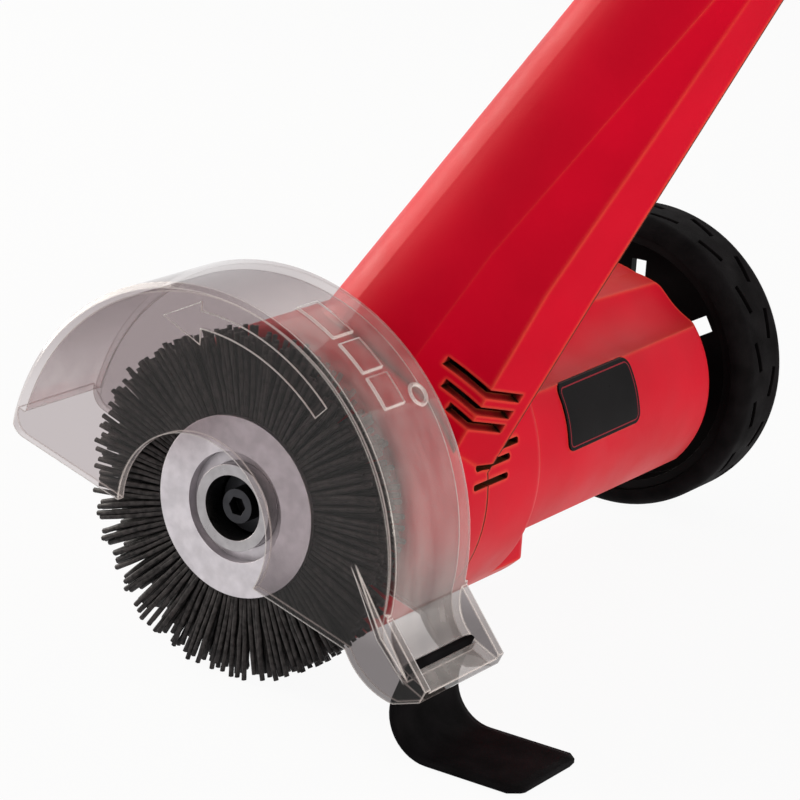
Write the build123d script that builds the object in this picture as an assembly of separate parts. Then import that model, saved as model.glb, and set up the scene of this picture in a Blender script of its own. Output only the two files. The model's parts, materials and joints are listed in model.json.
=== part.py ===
from build123d import *

import os
from math import acos, asin, cos, degrees, pi, radians, sin, tan

# Electric weed brush: motor head with a radial brush, clear guard and support wheel, and a telescopic handle.
# Millimetres. While the pieces are drawn, X points forward, away from the user, Y to the brush side and Z up.
# The brush and the wheel turn about one axle line along Y, at x = 0. The arm, the tubes and the handles are
# drawn in an arm frame: its Z runs up the tube from the axle line, its X is the tube's front, and Y is kept.
# At the end everything is shifted so that the origin is the middle of the footprint box, on the ground.

# Fits and clearances
FIT_GAP = 0.05          # radial gap of seats and running fits
SLIDE_GAP = 0.15        # gap round sliding and loosely held pieces
MOVE_GAP = 0.5          # gap between faces that pass each other
SOFT_GAP = 0.3          # gap round rubber pieces

# Brush
BRUSH_R = 50.0
BRUSH_THICK = 10.0      # over the two side plates
PLATE_R = 26.2
PLATE_T = 1.6
PLATE_RECESS_R = 16.0
PLATE_RECESS = 3.4
HUB_R = 12.5
HUB_BORE_R = 9.4
HUB_PROUD = 1.0         # collar in front of the plate
HUB_WEB = 4.0
HUB_FLANGE_R = 16.0
HUB_FLANGE_T = 3.0
STRAND_ROWS = 4
STRANDS_PER_ROW = 108
STRAND_SIDE = 0.95
STRAND_SPREAD_FRONT = 2.0   # tips stand this far in front of the front plate
STRAND_SPREAD_REAR = 1.0
STRAND_UNEVEN = 1.5         # longest to shortest strand
STRAND_CYCLE = 7            # different lengths among neighbouring strands
BACKING_R_IN = 18.0
BACKING_R_OUT = 24.0
AXLE_Z = BRUSH_R            # the brush and the wheel stand on the ground together

# Brush screw
SCREW_R = 3.0
SCREW_HEAD_R = 5.0
SCREW_HEAD = 6.0
SCREW_LENGTH = 18.0
HEX_ACROSS = 5.0
HEX_DEPTH = 3.5
WASHER_R = 9.0
WASHER_T = 1.8

# Spindle and its bearings
SPINDLE_R = 5.0
SPINDLE_REAR_R = 4.0
SPINDLE_FLANGE_R = 10.0
SPINDLE_FLANGE_T = 3.0
SPINDLE_SHOULDER_R = 7.0
FRONT_BEARING_R = 13.0
FRONT_BEARING_W = 8.0
REAR_BEARING_R = 11.0
REAR_BEARING_W = 7.0
BEARING_GROOVE = 0.6
BEARING_LIP = 4.5           # wall in front of the front bearing

# Gear train: motor pinion and layshaft gear, layshaft pinion and output gear
MODULE = 1.0
PRESSURE_ANGLE = 20.0
ADDENDUM = 0.75
DEDENDUM = 1.2
INVOLUTE_STEPS = 4
BACKLASH = 0.2
MOTOR_PINION_TEETH = 12
LAYSHAFT_GEAR_TEETH = 38
LAYSHAFT_PINION_TEETH = 14
OUTPUT_GEAR_TEETH = 36
OUTPUT_GEAR_W = 8.0
GEAR_SLEEVE = 3.0       # wall of the sleeve in front of the output gear
LAYSHAFT_GEAR_W = 7.0
PINION_OVERLAP = 0.5    # pinions are this much wider than their gear, each side
LAYSHAFT_R = 4.0
BUSH_R = 6.0
BUSH_W = 7.0
BUSH_WALL = 4.0         # wall of the front bush's seat, which runs into the bearing's seat
GEAR_GAP = 1.0          # axial room beside the gears

# Housing
WALL = 3.0
GUARD_REAR_FACE = -18.5     # where the guard is screwed to the gearbox
GEARBOX_R = 47.2
GEARBOX_END_Y = -88.0
GEARBOX_EDGE_R = 4.0
BELLY_END_Y = -105.0        # the gear case reaches further back under the barrel
BELLY_X = -33.5
BELLY_TOP_Z = 40.0
BELLY_EDGE_R = 5.0
BARREL_ROOT_Y = -60.0       # the barrel's taper starts inside the gearbox
BARREL_END_Y = -197.0
BARREL_EDGE_R = 5.0
BARREL_ROOT_R = 40.0
BARREL_END_R = 38.0
SADDLE_ROOT_R = 38.0        # second, offset cone that fills out the user side
SADDLE_END_R = 34.8
SADDLE_X = -9.0
SADDLE_Z = 1.0
UNDERSIDE_ANGLE = 240.0     # flat along the lower side, from +X towards +Z
UNDERSIDE_R = 36.9
TOPSIDE_ANGLE = 102.0       # flat along the upper side
TOPSIDE_R = 38.8
COVE_PLACE = (-39.0, 92.0)      # hollow along the barrel between its top and the user side
COVE_R = 19.7
STATOR_RIBS = 8
RIB_W = 3.0
CASE_SCREW_INSET = 7.7          # screw axes inside the gear case's surface
CASE_SCREW_ANGLES = (-45, 20, 185, 225)
BOSS_R = 5.0
BOSS_DEPTH = 20.0           # depth of the screw bosses behind the parting plane
CASE_SCREW_R = 2.0
CASE_HEAD_R = 3.6
CASE_HEAD = 2.6
HEAD_RECESS = 3.0
CROSS_LENGTH = 4.0          # cross recess in the screw heads
CROSS_W = 0.9
CROSS_DEPTH = 1.0

# Arm between the gearbox and the tube
TUBE_ANGLE = 57.0
TUBE_Y = -57.0              # plane of the tube and of the parting line
ARM_STATIONS = (8.0, 95.0, 228.0)       # root, end of the flared back, top
ARM_OUTLINES = (            # half outlines there: front, edge, bulge, crease, hollow, ridge, back
    ((35.2, 0.0), (22.8, 21.1), (9.2, 23.8), (-4.5, 22.5), (-17.7, 17.8), (-31.5, 15.5), (-37.3, 0.0)),
    ((29.6, 0.0), (18.0, 18.9), (6.8, 21.9), (-4.5, 21.3), (-13.0, 17.2), (-21.9, 14.5), (-29.1, 0.0)),
    ((21.0, 0.0), (10.7, 15.5), (-0.2, 17.6), (-13.0, 14.0), (-13.7, 11.6), (-14.7, 9.0), (-17.9, 0.0)),
)
ARM_SCREW_REACH = 17.0      # seats and ends of the arm's screws beside the parting plane
COLLAR_R = 16.5
COLLAR_FROM_S = 205.0
COLLAR_TO_S = 262.0
STOP_RIB_T = 4.0
STOP_HOLE_R = 9.0
ARM_SCREW_PLACES = ((92.0, -7.0), (92.0, 14.0), (145.0, -2.0))

# Vents
VENT_SLOT = 3.0
VENT_PLACES = ((59.4, -11.0), (53.3, -14.1), (48.2, -18.8))     # along the arm, and the slots' front ends
VENT_FROM_SEAM = 4.0        # rear ends beside the parting plane
SIDE_VENT_PLACES = ((-65.7, 63.4), (-60.3, 59.9), (-58.6, 54.7))
SIDE_VENT_HALF = 9.0
SIDE_VENT_SLOT = 1.8
SIDE_VENT_REACH = 17.0       # of the slots' cuts, each way from the gear case's surface

# Label plate on the barrel
LABEL_LENGTH = 43.5
LABEL_HEIGHT = 19.5
LABEL_CORNER = 3.0
LABEL_Y = -124.8
LABEL_Z = 62.6
LABEL_SUNK = 0.4
LABEL_PROUD = 0.5

# Motor
STATOR_R = 32.0
STATOR_BORE_R = 27.5
STATOR_LENGTH = 48.0
POLE_HALF_ANGLE = 48.0
COIL_HALF_ANGLE = 80.0
COIL_OVERHANG = 6.0
ARMATURE_R = 17.0
ARMATURE_SLOTS = 12
ARMATURE_SLOT_W = 2.2
ARMATURE_SLOT_DEPTH = 4.0
AIR_GAP = 0.6
WINDING_R = 15.5
WINDING_W = 7.0
SHAFT_R = 4.0
PINION_BORE_R = 3.0
FAN_R = 30.0
FAN_W = 9.0
FAN_BLADES = 11
FAN_HUB_R = 9.0
FAN_BLADE_T = 1.6
FAN_PLATE_T = 2.0
FAN_ROOM = 5.0              # axial room beside the fan
AIR_WINDOW_ANGLES = (-10, 40, 205, 245, 285)
COMMUTATOR_R = 10.0
COMMUTATOR_W = 12.0
RISER = 1.5                 # rim of the commutator where the winding is joined
CARBON_W = 5.0
CARBON_H = 4.0
CARBON_LENGTH = 13.0
HOLDER_WALL = 1.2
HOLDER_LENGTH = 16.0
BRUSH_RING_T = 3.0
BRUSH_RING_BORE_R = 13.0
MOTOR_BEARING_CUP = 3.0     # wall of the rear bearing cup
CUP_FLOOR = 2.0             # between the rear bearing and the wheel axle

# Guard
GUARD_R = 67.0
GUARD_T = 2.6
GUARD_FRONT_Y = 20.0
GUARD_EDGE_DROP = 6.6       # lower edge below the axle line, at x = 0
GUARD_EDGE_ANGLE = 16.25
GUARD_NOTCH_R = 25.5
GUARD_CHAMFER = 1.4         # along the outer edges of both side walls
GUARD_HUB_R = 15.0
GUARD_CORNER_R = 6.0
GUARD_TOP_ANGLE = 100.0
FLARE_ANGLE = 190.0         # where the outer wall leaves its circle
FLARE_LEAD = 1.0            # the side walls leave it this much earlier
FLARE_R = 14.0
FLARE_END_ANGLE = -65.0
LIP_LENGTH = 6.5
LIP_STEP = 1.2
CHIN_STEP = (9.0, -3.9)     # lowest point of the side walls, from the lip's end
CHIN_RISE = (18.9, -0.1)
EDGE_REAR_STEP = 25.2       # where the straight lower edge ends at the rear, from the lip's end
GUSSET_INSET = 12.8         # fin on the front wall, from inside the guard's edge down to the lip
GUSSET_ANGLE = 177.7
GUSSET_END = (5.2, 3.0)     # from the lip's end
GUSSET_PROUD = 2.9
GUSSET_PEAK = 0.6           # highest point, as a share of the length
GUSSET_T = 1.6
GUARD_SCREW_PCR = 32.0
GUARD_SCREW_ANGLES = (45, 100, 165)
PAD_SPANS = ((109.3, 121.0), (123.0, 131.8), (133.2, 141.5))
PAD_Y = 2.4
PAD_WIDTH = 9.2
PAD_PROUD = 0.6
RING_MARK_R = 3.3           # small raised ring beside the pads
RING_MARK_Y = -9.5
RING_MARK_ANGLE = 140.7

# Splash flap
FLAP_WIDTH = 32.0
FLAP_T = 2.2
FLAP_BEND_R = 12.0
FLAP_TAIL = 28.4            # straight run along the ground
FLAP_LEAN = 20.9            # of the stretch through the slot, from the vertical
FLAP_SLOT_TURN = 55.2       # the slot's place round the flare
FLAP_PROUD = 2.2            # root standing above the slot

# Support wheel
WHEEL_INNER_Y = -207.5
WHEEL_WIDTH = 26.5
TYRE_SHOULDER = 5.0
TYRE_T = 6.0
RIM_T = 3.0
WEB_T = 3.5
WEB_DEPTH = 12.0            # web behind the wheel's inner edge
WINDOWS = 6
WINDOW_W = 5.5
WINDOW_R_IN = 19.0
WINDOW_R_OUT = 32.5
WHEEL_HUB_R = 12.0
HUB_SUNK = 6.5              # hub's outer face inside the wheel's outer edge
WHEEL_HUB_PROUD = 1.0       # hub's inner face outside the wheel's inner edge
WHEEL_BUSH_R = 7.5
AXLE_R = 5.5
AXLE_SEAT = 10.0            # length pressed into the barrel's end boss
TREAD_SLITS = 16
TREAD_SLIT_W = 2.2
TREAD_SLIT_DEPTH = 1.4
TREAD_SLIT_LENGTH = 10.0
TREAD_SLANT = 12.0
TREAD_STEP = 4.5            # the two rows of slits, each side of the tread's middle
TREAD_STAGGER = 0.5         # one row against the other, in slits
AXLE_SCREW_R = 2.5
AXLE_SCREW_HEAD_R = 4.5
AXLE_SCREW_HEAD = 2.6
AXLE_WASHER_R = 9.5
AXLE_WASHER_T = 1.4
CAP_T = 1.6

# Telescopic tubes, along the arm frame
LOWER_TUBE_R = 14.0
LOWER_TUBE_WALL = 1.5
LOWER_TUBE_FROM_S = 168.0
LOWER_TUBE_TO_S = 560.0
UPPER_TUBE_WALL = 1.4
UPPER_TUBE_FROM_S = 420.0
HANDLE_S = 800.0            # mouth of the handle's tube socket
SOCKET_DEPTH = 38.0

# Tube clamp
CLAMP_R = 20.0
CLAMP_LENGTH = 46.0
CLAMP_OVER = 16.0           # stretch above the end of the lower tube
LUG_T = 6.0
LUG_HALF = 6.0
LUG_ROOM = 20.0             # room for the lever between the lugs
CLAMP_PIN_R = 2.5
CLAMP_PIN_OUT = 4.5         # pin beyond the collar's surface
LEVER_T = 4.0
LEVER_SWEEP = 130.0

# Second handle on the upper tube
BRACKET_S = 700.0
BRACKET_LENGTH = 40.0
BRACKET_R = 20.0
EAR_HALF = 22.0
EAR_R = 12.0
AUX_PIVOT = 31.0            # bolt in front of the tube axis
AUX_BOLT_R = 4.0
AUX_EYE_W = 9.0
AUX_BAR_R = 9.0
AUX_HALF_WIDTH = 54.0
AUX_SHOULDER = 22.0         # straight run in front of the bolt
AUX_SPREAD = 26.0           # run over which the bar spreads to its full width
AUX_REACH = 96.0
AUX_BEND_R = 22.0
AUX_GRIP_T = 3.5
AUX_GRIP_LENGTH = 56.0
KNOB_R = 13.0
KNOB_W = 16.0
KNOB_LOBES = 6
KNOB_LOBE_R = 4.0

# Rear handle, drawn in the arm frame as (front, along) offsets from the mouth of its socket
HANDLE_HALF = 18.0
HANDLE_WALL = 2.6
HANDLE_EDGE_R = 6.0
HANDLE_CORNER_R = 12.0
HANDLE_OUTLINE = (
    (-19.0, 0.0), (19.0, 0.0), (19.0, 50.0), (-48.0, 174.0), (-66.0, 206.0), (-106.0, 183.0),
    (-126.0, 150.0), (-112.0, 104.0), (-40.0, 12.0),
)
FINGER_GAP = ((-26.0, 54.0), (-80.0, 148.0), (-104.0, 142.0), (-96.0, 114.0), (-44.0, 44.0))
FINGER_CORNER_R = 8.0
GRIP_START = (2.0, 50.0)    # grip line, middle of the upper bar
GRIP_TILT = 30.0            # grip line against the tube
SOCKET_WALL = 4.0
HANDLE_SCREWS = ((0.0, 47.5), (-52.0, 160.0), (-118.0, 146.0), (-33.0, 20.0))
TRIGGER_FROM = 14.0         # along the grip line
TRIGGER_LENGTH = 44.0
TRIGGER_HALF = 6.0
TRIGGER_TOP = 10.0          # top of the trigger below the grip line
TRIGGER_DROP = 31.0         # lowest point of the trigger below the grip line
TRIGGER_PIN_R = 2.5
TRIGGER_TRAVEL = 8.0        # degrees
TRIGGER_NOSE = 6.0          # lowest point behind the front end
TRIGGER_LIP = 3.0           # front end above the lowest point
TRIGGER_CURL = 4.0          # finger hollow above the lowest point
EDGE_ROUND = 1.5
SWITCH_LENGTH = 28.0
SWITCH_HEIGHT = 10.0
BUTTON_R = 6.5
BUTTON_PROUD = 5.0
BUTTON_TRAVEL = 3.0
BUTTON_ALONG = 40.0
BUTTON_ABOVE = 2.0          # above the grip line
CORD_BUSH_R = 8.0
CORD_BORE_R = 4.2
CORD_BUSH_LENGTH = 22.0
CORD_BUSH_PROUD = 8.0
GLAND_FLANGE_R = 10.0
GLAND_FLANGE_T = 2.0

# Sizes worked out from the ones above
UPPER_TUBE_R = LOWER_TUBE_R - LOWER_TUBE_WALL - SLIDE_GAP
BRUSH_REAR_Y = -BRUSH_THICK
FLANGE_FRONT_Y = BRUSH_REAR_Y - HUB_FLANGE_T
FLANGE_REAR_Y = FLANGE_FRONT_Y - SPINDLE_FLANGE_T
WEB_FRONT_Y = FLANGE_FRONT_Y + HUB_WEB
SCREW_SEAT_Y = WEB_FRONT_Y + WASHER_T
GEARBOX_FRONT_Y = GUARD_REAR_FACE
BEARING_SHOULDER_Y = GEARBOX_FRONT_Y - BEARING_LIP
FRONT_BEARING_REAR_Y = BEARING_SHOULDER_Y - FRONT_BEARING_W
OUTPUT_GEAR_FRONT_Y = FRONT_BEARING_REAR_Y - 2 * GEAR_GAP
OUTPUT_GEAR_REAR_Y = OUTPUT_GEAR_FRONT_Y - OUTPUT_GEAR_W
GEAR_PLATE_FRONT_Y = OUTPUT_GEAR_REAR_Y - PINION_OVERLAP - GEAR_GAP
GEAR_PLATE_REAR_Y = GEAR_PLATE_FRONT_Y - REAR_BEARING_W
LAYSHAFT_GEAR_FRONT_Y = GEAR_PLATE_REAR_Y - 2 * GEAR_GAP
LAYSHAFT_GEAR_REAR_Y = LAYSHAFT_GEAR_FRONT_Y - LAYSHAFT_GEAR_W
BRACKET_FRONT_Y = LAYSHAFT_GEAR_REAR_Y - 2 * GEAR_GAP
BRACKET_REAR_Y = BRACKET_FRONT_Y - REAR_BEARING_W
FAN_FRONT_Y = BRACKET_REAR_Y - FAN_ROOM
FAN_REAR_Y = FAN_FRONT_Y - FAN_W
STATOR_FRONT_Y = FAN_REAR_Y - COIL_OVERHANG - FAN_ROOM
STATOR_REAR_Y = STATOR_FRONT_Y - STATOR_LENGTH
WINDING_REAR_Y = STATOR_REAR_Y - WINDING_W
COMMUTATOR_FRONT_Y = WINDING_REAR_Y - 2 * GEAR_GAP
COMMUTATOR_REAR_Y = COMMUTATOR_FRONT_Y - COMMUTATOR_W
CARBON_Y = (COMMUTATOR_FRONT_Y + COMMUTATOR_REAR_Y) / 2
HOLDER_HALF_Y = CARBON_W / 2 + SLIDE_GAP + HOLDER_WALL
BRUSH_RING_FRONT_Y = CARBON_Y - HOLDER_HALF_Y
BRUSH_RING_REAR_Y = BRUSH_RING_FRONT_Y - BRUSH_RING_T
AXLE_INNER_Y = BARREL_END_Y + AXLE_SEAT
CUP_BOTTOM_Y = AXLE_INNER_Y + CUP_FLOOR
CUP_FRONT_Y = CUP_BOTTOM_Y + REAR_BEARING_W
CUP_R = REAR_BEARING_R + MOTOR_BEARING_CUP
WHEEL_OUTER_Y = WHEEL_INNER_Y - WHEEL_WIDTH
WHEEL_MID_Y = (WHEEL_INNER_Y + WHEEL_OUTER_Y) / 2
WEB_Y = WHEEL_INNER_Y - WEB_DEPTH
RIM_R = AXLE_Z - TYRE_T
HUB_INNER_Y = WHEEL_INNER_Y + WHEEL_HUB_PROUD
HUB_OUTER_Y = WHEEL_OUTER_Y + HUB_SUNK
CENTRE_DISTANCE = MODULE * (OUTPUT_GEAR_TEETH + LAYSHAFT_PINION_TEETH) / 2
LAYSHAFT_X = -CENTRE_DISTANCE * cos(radians(TUBE_ANGLE))
LAYSHAFT_Z = AXLE_Z + CENTRE_DISTANCE * sin(radians(TUBE_ANGLE))
MESH_ANGLE = 180.0 - TUBE_ANGLE     # from the axle line to the layshaft, from +X towards +Z
GUARD_REAR_Y = GUARD_REAR_FACE
CASE_SCREW_PCR = GEARBOX_R - CASE_SCREW_INSET
GUARD_MID_Y = (GUARD_FRONT_Y + GUARD_REAR_Y) / 2
TRIGGER_RISE = TRIGGER_LENGTH * sin(radians(TRIGGER_TRAVEL))
SWITCH_BELOW = TRIGGER_TOP - TRIGGER_RISE - MOVE_GAP    # underside of the switch below the grip line
BUTTON_INNER = HANDLE_HALF / 2

ARM = Pos(0, TUBE_Y, AXLE_Z) * Rot(0, TUBE_ANGLE - 90, 0)
AXLE_LINE = Axis((0, 0, AXLE_Z), (0, 1, 0))


def rod(radius, y_front, y_rear, x=0.0, z=AXLE_Z):
    """A cylinder along Y between two planes."""
    return Pos(x, (y_front + y_rear) / 2, z) * Rot(90, 0, 0) * Cylinder(radius, y_front - y_rear)


def ring(outer, inner, y_front, y_rear, x=0.0, z=AXLE_Z):
    """A tube along Y between two planes."""
    return rod(outer, y_front, y_rear, x, z) - rod(inner, y_front, y_rear, x, z)


def along_y(face, y_front, y_rear, x=0.0, z=0.0):
    """A face drawn in (X, Z), pushed from one Y plane back to another."""
    return extrude(Plane.XZ.offset(-y_front) * (Pos(x, z) * face), amount=y_front - y_rear)


def turned(points, arc=360.0, start=0.0):
    """A body turned about the axle line from an outline of (radius, y) points."""
    face = Pos(0, 0, AXLE_Z) * make_face(Polyline(*points, close=True))
    return Pos(0, 0, AXLE_Z) * Rot(0, start, 0) * Pos(0, 0, -AXLE_Z) * revolve(face, AXLE_LINE, arc)


def polar(radius, angle):
    """Place on a circle round the axle line, the angle from +X towards +Z in degrees."""
    return radius * cos(radians(angle)), AXLE_Z + radius * sin(radians(angle))


def tube_rod(radius, s_from, s_to, front=0.0, side=0.0):
    """A cylinder along the tube, in the arm frame."""
    return Pos(front, side, (s_from + s_to) / 2) * Cylinder(radius, s_to - s_from)


def cross_rod(radius, y_from, y_to, front, along):
    """A cylinder across the tube along Y, in the arm frame."""
    return Pos(front, (y_from + y_to) / 2, along) * Rot(90, 0, 0) * Cylinder(radius, y_to - y_from)


def corners_at(shape, places):
    """The corners of a face that lie at the given places."""
    return [v for v in shape.vertices() if any(abs(v.X - x) + abs(v.Y - y) < 1e-4 for x, y in places)]


# Housing
def taper(root_r, end_r, y):
    """Radius of a cone between the barrel's root and its end."""
    return root_r + (end_r - root_r) * (BARREL_ROOT_Y - y) / (BARREL_ROOT_Y - BARREL_END_Y)


def rounded_cone(root_r, end_r, inset):
    """A cone along the barrel with a rounded end, drawn in from the outside by inset."""
    end = BARREL_END_Y + inset
    corner = (taper(root_r, end_r, end) - inset, end)
    root = (root_r - inset, BARREL_ROOT_Y)
    face = make_face(Polyline((0, BARREL_ROOT_Y), root, corner, (0, end), close=True))
    return revolve(Pos(0, 0, AXLE_Z) * fillet(corners_at(face, [corner]), BARREL_EDGE_R - inset), AXLE_LINE)


def flat_cut(angle, distance):
    """Everything beyond a plane along the axle line, given by its direction and distance."""
    size = 6 * GEARBOX_R
    block = Pos(distance + size / 2, 0, 0) * Box(size, size, size)
    return Pos(0, BARREL_END_Y / 2, AXLE_Z) * Rot(0, -angle, 0) * block


def barrel_form(inset):
    """Motor barrel: two cones, the second filling out the user side, with flats and a hollow between them."""
    body = rounded_cone(BARREL_ROOT_R, BARREL_END_R, inset)
    body += Pos(SADDLE_X, 0, SADDLE_Z) * rounded_cone(SADDLE_ROOT_R, SADDLE_END_R, inset)
    body -= flat_cut(UNDERSIDE_ANGLE, UNDERSIDE_R - inset)
    body -= flat_cut(TOPSIDE_ANGLE, TOPSIDE_R - inset)
    return body - rod(COVE_R + inset, 0, 2 * BARREL_END_Y, *COVE_PLACE)


def gearbox_form(inset):
    """Round gear case, with a belly that reaches further back under the barrel."""
    front = GEARBOX_FRONT_Y - inset
    radius = GEARBOX_R - inset
    body = rod(radius, front, GEARBOX_END_Y + inset)
    body = fillet(body.edges().filter_by(GeomType.CIRCLE), GEARBOX_EDGE_R - inset / 2)
    size = 4 * GEARBOX_R
    below = Pos(BELLY_X + inset + size / 2, 0, BELLY_TOP_Z - inset - size / 2) * Box(size, 2 * size, size)
    belly = rod(radius, (front + GEARBOX_END_Y) / 2, BELLY_END_Y + inset) & below
    rear = [e for e in belly.edges() if abs(e.center().Y - BELLY_END_Y - inset) < 1e-3]
    return body + fillet(rear, BELLY_EDGE_R - inset)


def head_form(inset):
    """Gear case and motor barrel together, drawn in from the outside by inset."""
    return gearbox_form(inset) + barrel_form(inset)


def drawn_in(points, inset):
    """A half outline moved inwards, each point along the mean of its neighbours' normals."""
    places = [Vector(*point) for point in points]
    first, last = places[1], places[-2]
    chain = [Vector(first.X, -first.Y), *places, Vector(last.X, -last.Y)]
    moved = []
    for before, here, after in zip(chain, chain[1:], chain[2:]):
        arriving = Vector(0, 0, 1).cross((here - before).normalized())
        leaving = Vector(0, 0, 1).cross((after - here).normalized())
        moved.append(here + (arriving + leaving) * (inset / (1 + arriving.dot(leaving))))
    return moved


def arm_section(s, points):
    """Section across the arm: round front, bulging flanks, a crease, a hollow and a roof-shaped back."""
    front, edge, bulge, crease, hollow, ridge, back = points
    lines = [ThreePointArc(Vector(edge.X, -edge.Y), front, edge)]
    for side in (1, -1):
        half = [Vector(p.X, side * p.Y) for p in (edge, bulge, crease, hollow, ridge, back)]
        lines.append(ThreePointArc(*half[:3]))
        lines.append(ThreePointArc(*half[2:5]))
        lines.append(Line(*half[4:]))
    return Pos(0, 0, s) * make_face(lines)


def arm_form(inset):
    """The arm as a straight taper with a flared back at its root, in the arm frame."""
    faces = [arm_section(s, drawn_in(points, inset)) for s, points in zip(ARM_STATIONS, ARM_OUTLINES)]
    return loft(faces[:2]) + loft(faces[1:])


def case_screw_places():
    """Places of the gear case screws round the axle line."""
    return [polar(CASE_SCREW_PCR, angle) for angle in CASE_SCREW_ANGLES]


def guard_screw_places():
    """Places of the guard's screws round the axle line."""
    return [polar(GUARD_SCREW_PCR, angle) for angle in GUARD_SCREW_ANGLES]


def arm_screw(radius, y_from, y_to):
    """Rods across the arm at the places of its screws, y counted from the parting plane."""
    return [ARM * cross_rod(radius, y_from, y_to, front, s) for s, front in ARM_SCREW_PLACES]


def vent_cuts():
    """Slots across the brush-side flank of the arm, and straight slots across the parting line."""
    cuts = []
    for along, front in VENT_PLACES:
        slot = Pos(front - GEARBOX_R / 2, GEARBOX_R / 2 + VENT_FROM_SEAM, along) * Box(
            GEARBOX_R, GEARBOX_R, VENT_SLOT)
        cuts.append(ARM * slot)
    for y, z in SIDE_VENT_PLACES:
        slot = Box(2 * SIDE_VENT_REACH, 2 * SIDE_VENT_HALF, SIDE_VENT_SLOT)
        slot = fillet(slot.edges().filter_by(Axis.X), SIDE_VENT_SLOT / 2 - FIT_GAP)
        cuts.append(Pos(-GEARBOX_R, y, z) * slot)
    return cuts


def label_prism():
    """The label's outline, pushed through the barrel's user side."""
    face = RectangleRounded(LABEL_LENGTH, LABEL_HEIGHT, LABEL_CORNER)
    plane = Plane((-GEARBOX_R - WALL, LABEL_Y, LABEL_Z), x_dir=(0, -1, 0), z_dir=(1, 0, 0))
    return extrude(plane * face, amount=GEARBOX_R)


def label_cone(grow):
    """The cone under the label, grown by an offset."""
    front, rear = LABEL_Y + LABEL_LENGTH, LABEL_Y - LABEL_LENGTH
    front_r = taper(SADDLE_ROOT_R, SADDLE_END_R, front) + grow
    rear_r = taper(SADDLE_ROOT_R, SADDLE_END_R, rear) + grow
    return Pos(SADDLE_X, 0, SADDLE_Z) * turned([(0, front), (front_r, front), (rear_r, rear), (0, rear)])


def housing():
    """Both housing shells, hollow, with their bosses, ribs, seats and vents, before they are parted."""
    outer = head_form(0) + ARM * arm_form(0) + ARM * tube_rod(COLLAR_R, COLLAR_FROM_S, COLLAR_TO_S)
    room = head_form(WALL) + ARM * (arm_form(WALL) - Pos(0, 0, COLLAR_TO_S) * Box(
        4 * GEARBOX_R, 4 * GEARBOX_R, 2 * (COLLAR_TO_S - COLLAR_FROM_S)))
    body = outer - room
    added = [
        rod(FRONT_BEARING_R + WALL, GEARBOX_FRONT_Y, FRONT_BEARING_REAR_Y),
        rod(BUSH_R + BUSH_WALL, GEARBOX_FRONT_Y, FRONT_BEARING_REAR_Y, LAYSHAFT_X, LAYSHAFT_Z),
        rod(CUP_R, CUP_FRONT_Y, HUB_INNER_Y + MOVE_GAP),
    ]
    for x, z in case_screw_places():
        added.append(rod(BOSS_R, GEARBOX_FRONT_Y, TUBE_Y - BOSS_DEPTH, x, z))
    for x, z in guard_screw_places():
        added.append(rod(2 * CASE_SCREW_R, GEARBOX_FRONT_Y, BEARING_SHOULDER_Y - WALL, x, z))
    added += [boss & outer for boss in arm_screw(BOSS_R, -GEARBOX_R, GEARBOX_R)]
    stop = Pos(0, 0, LOWER_TUBE_FROM_S - STOP_RIB_T / 2) * Box(4 * GEARBOX_R, 4 * GEARBOX_R, STOP_RIB_T)
    added.append(ARM * (arm_form(WALL / 2) & stop) - ARM * tube_rod(STOP_HOLE_R, 0, COLLAR_TO_S))
    ribs = ring(2 * STATOR_R, STATOR_R + FIT_GAP, STATOR_FRONT_Y, BRUSH_RING_REAR_Y) & head_form(WALL / 2)
    for k in range(STATOR_RIBS):
        bar = Pos(STATOR_R, 0, 0) * Box(STATOR_R, 4 * STATOR_LENGTH, RIB_W)
        bar = Pos(0, STATOR_REAR_Y, AXLE_Z) * Rot(0, 360 * (k + 0.5) / STATOR_RIBS, 0) * bar
        added.append(bar & ribs)
    body = body.fuse(*added)
    cuts = [
        rod(SPINDLE_SHOULDER_R + MOVE_GAP, GEARBOX_FRONT_Y, FRONT_BEARING_REAR_Y),
        rod(FRONT_BEARING_R + FIT_GAP, BEARING_SHOULDER_Y, FRONT_BEARING_REAR_Y),
        rod(BUSH_R + FIT_GAP, FRONT_BEARING_REAR_Y + BUSH_W, FRONT_BEARING_REAR_Y, LAYSHAFT_X, LAYSHAFT_Z),
        rod(REAR_BEARING_R + FIT_GAP, CUP_FRONT_Y, CUP_BOTTOM_Y),
        rod(AXLE_R + FIT_GAP, AXLE_INNER_Y, HUB_INNER_Y),
        ARM * tube_rod(LOWER_TUBE_R + FIT_GAP, LOWER_TUBE_FROM_S, COLLAR_TO_S),
        label_prism() - label_cone(-LABEL_SUNK),
    ]
    cuts += vent_cuts()
    for x, z in case_screw_places():
        cuts.append(rod(CASE_HEAD_R + SLIDE_GAP, GEARBOX_FRONT_Y, GEARBOX_FRONT_Y - HEAD_RECESS, x, z))
        cuts.append(rod(CASE_SCREW_R + FIT_GAP, GEARBOX_FRONT_Y, TUBE_Y - BOSS_DEPTH + WALL, x, z))
    for x, z in guard_screw_places():
        cuts.append(rod(CASE_SCREW_R + FIT_GAP, GEARBOX_FRONT_Y, BEARING_SHOULDER_Y, x, z))
    cuts += arm_screw(CASE_SCREW_R + FIT_GAP, -GEARBOX_R, ARM_SCREW_REACH)
    cuts += arm_screw(CASE_HEAD_R + SLIDE_GAP, -GEARBOX_R, -ARM_SCREW_REACH)
    return body.cut(*cuts)


def half_space(side):
    """Everything on one side of the parting plane: +1 is the brush side."""
    size = 12 * GEARBOX_R
    return Pos(0, TUBE_Y + side * size / 2, size / 4) * Box(size, size, size)


def rating_label():
    """Bare black plate let into the barrel."""
    return (label_prism() & label_cone(LABEL_PROUD)) - label_cone(FIT_GAP - LABEL_SUNK)


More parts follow.
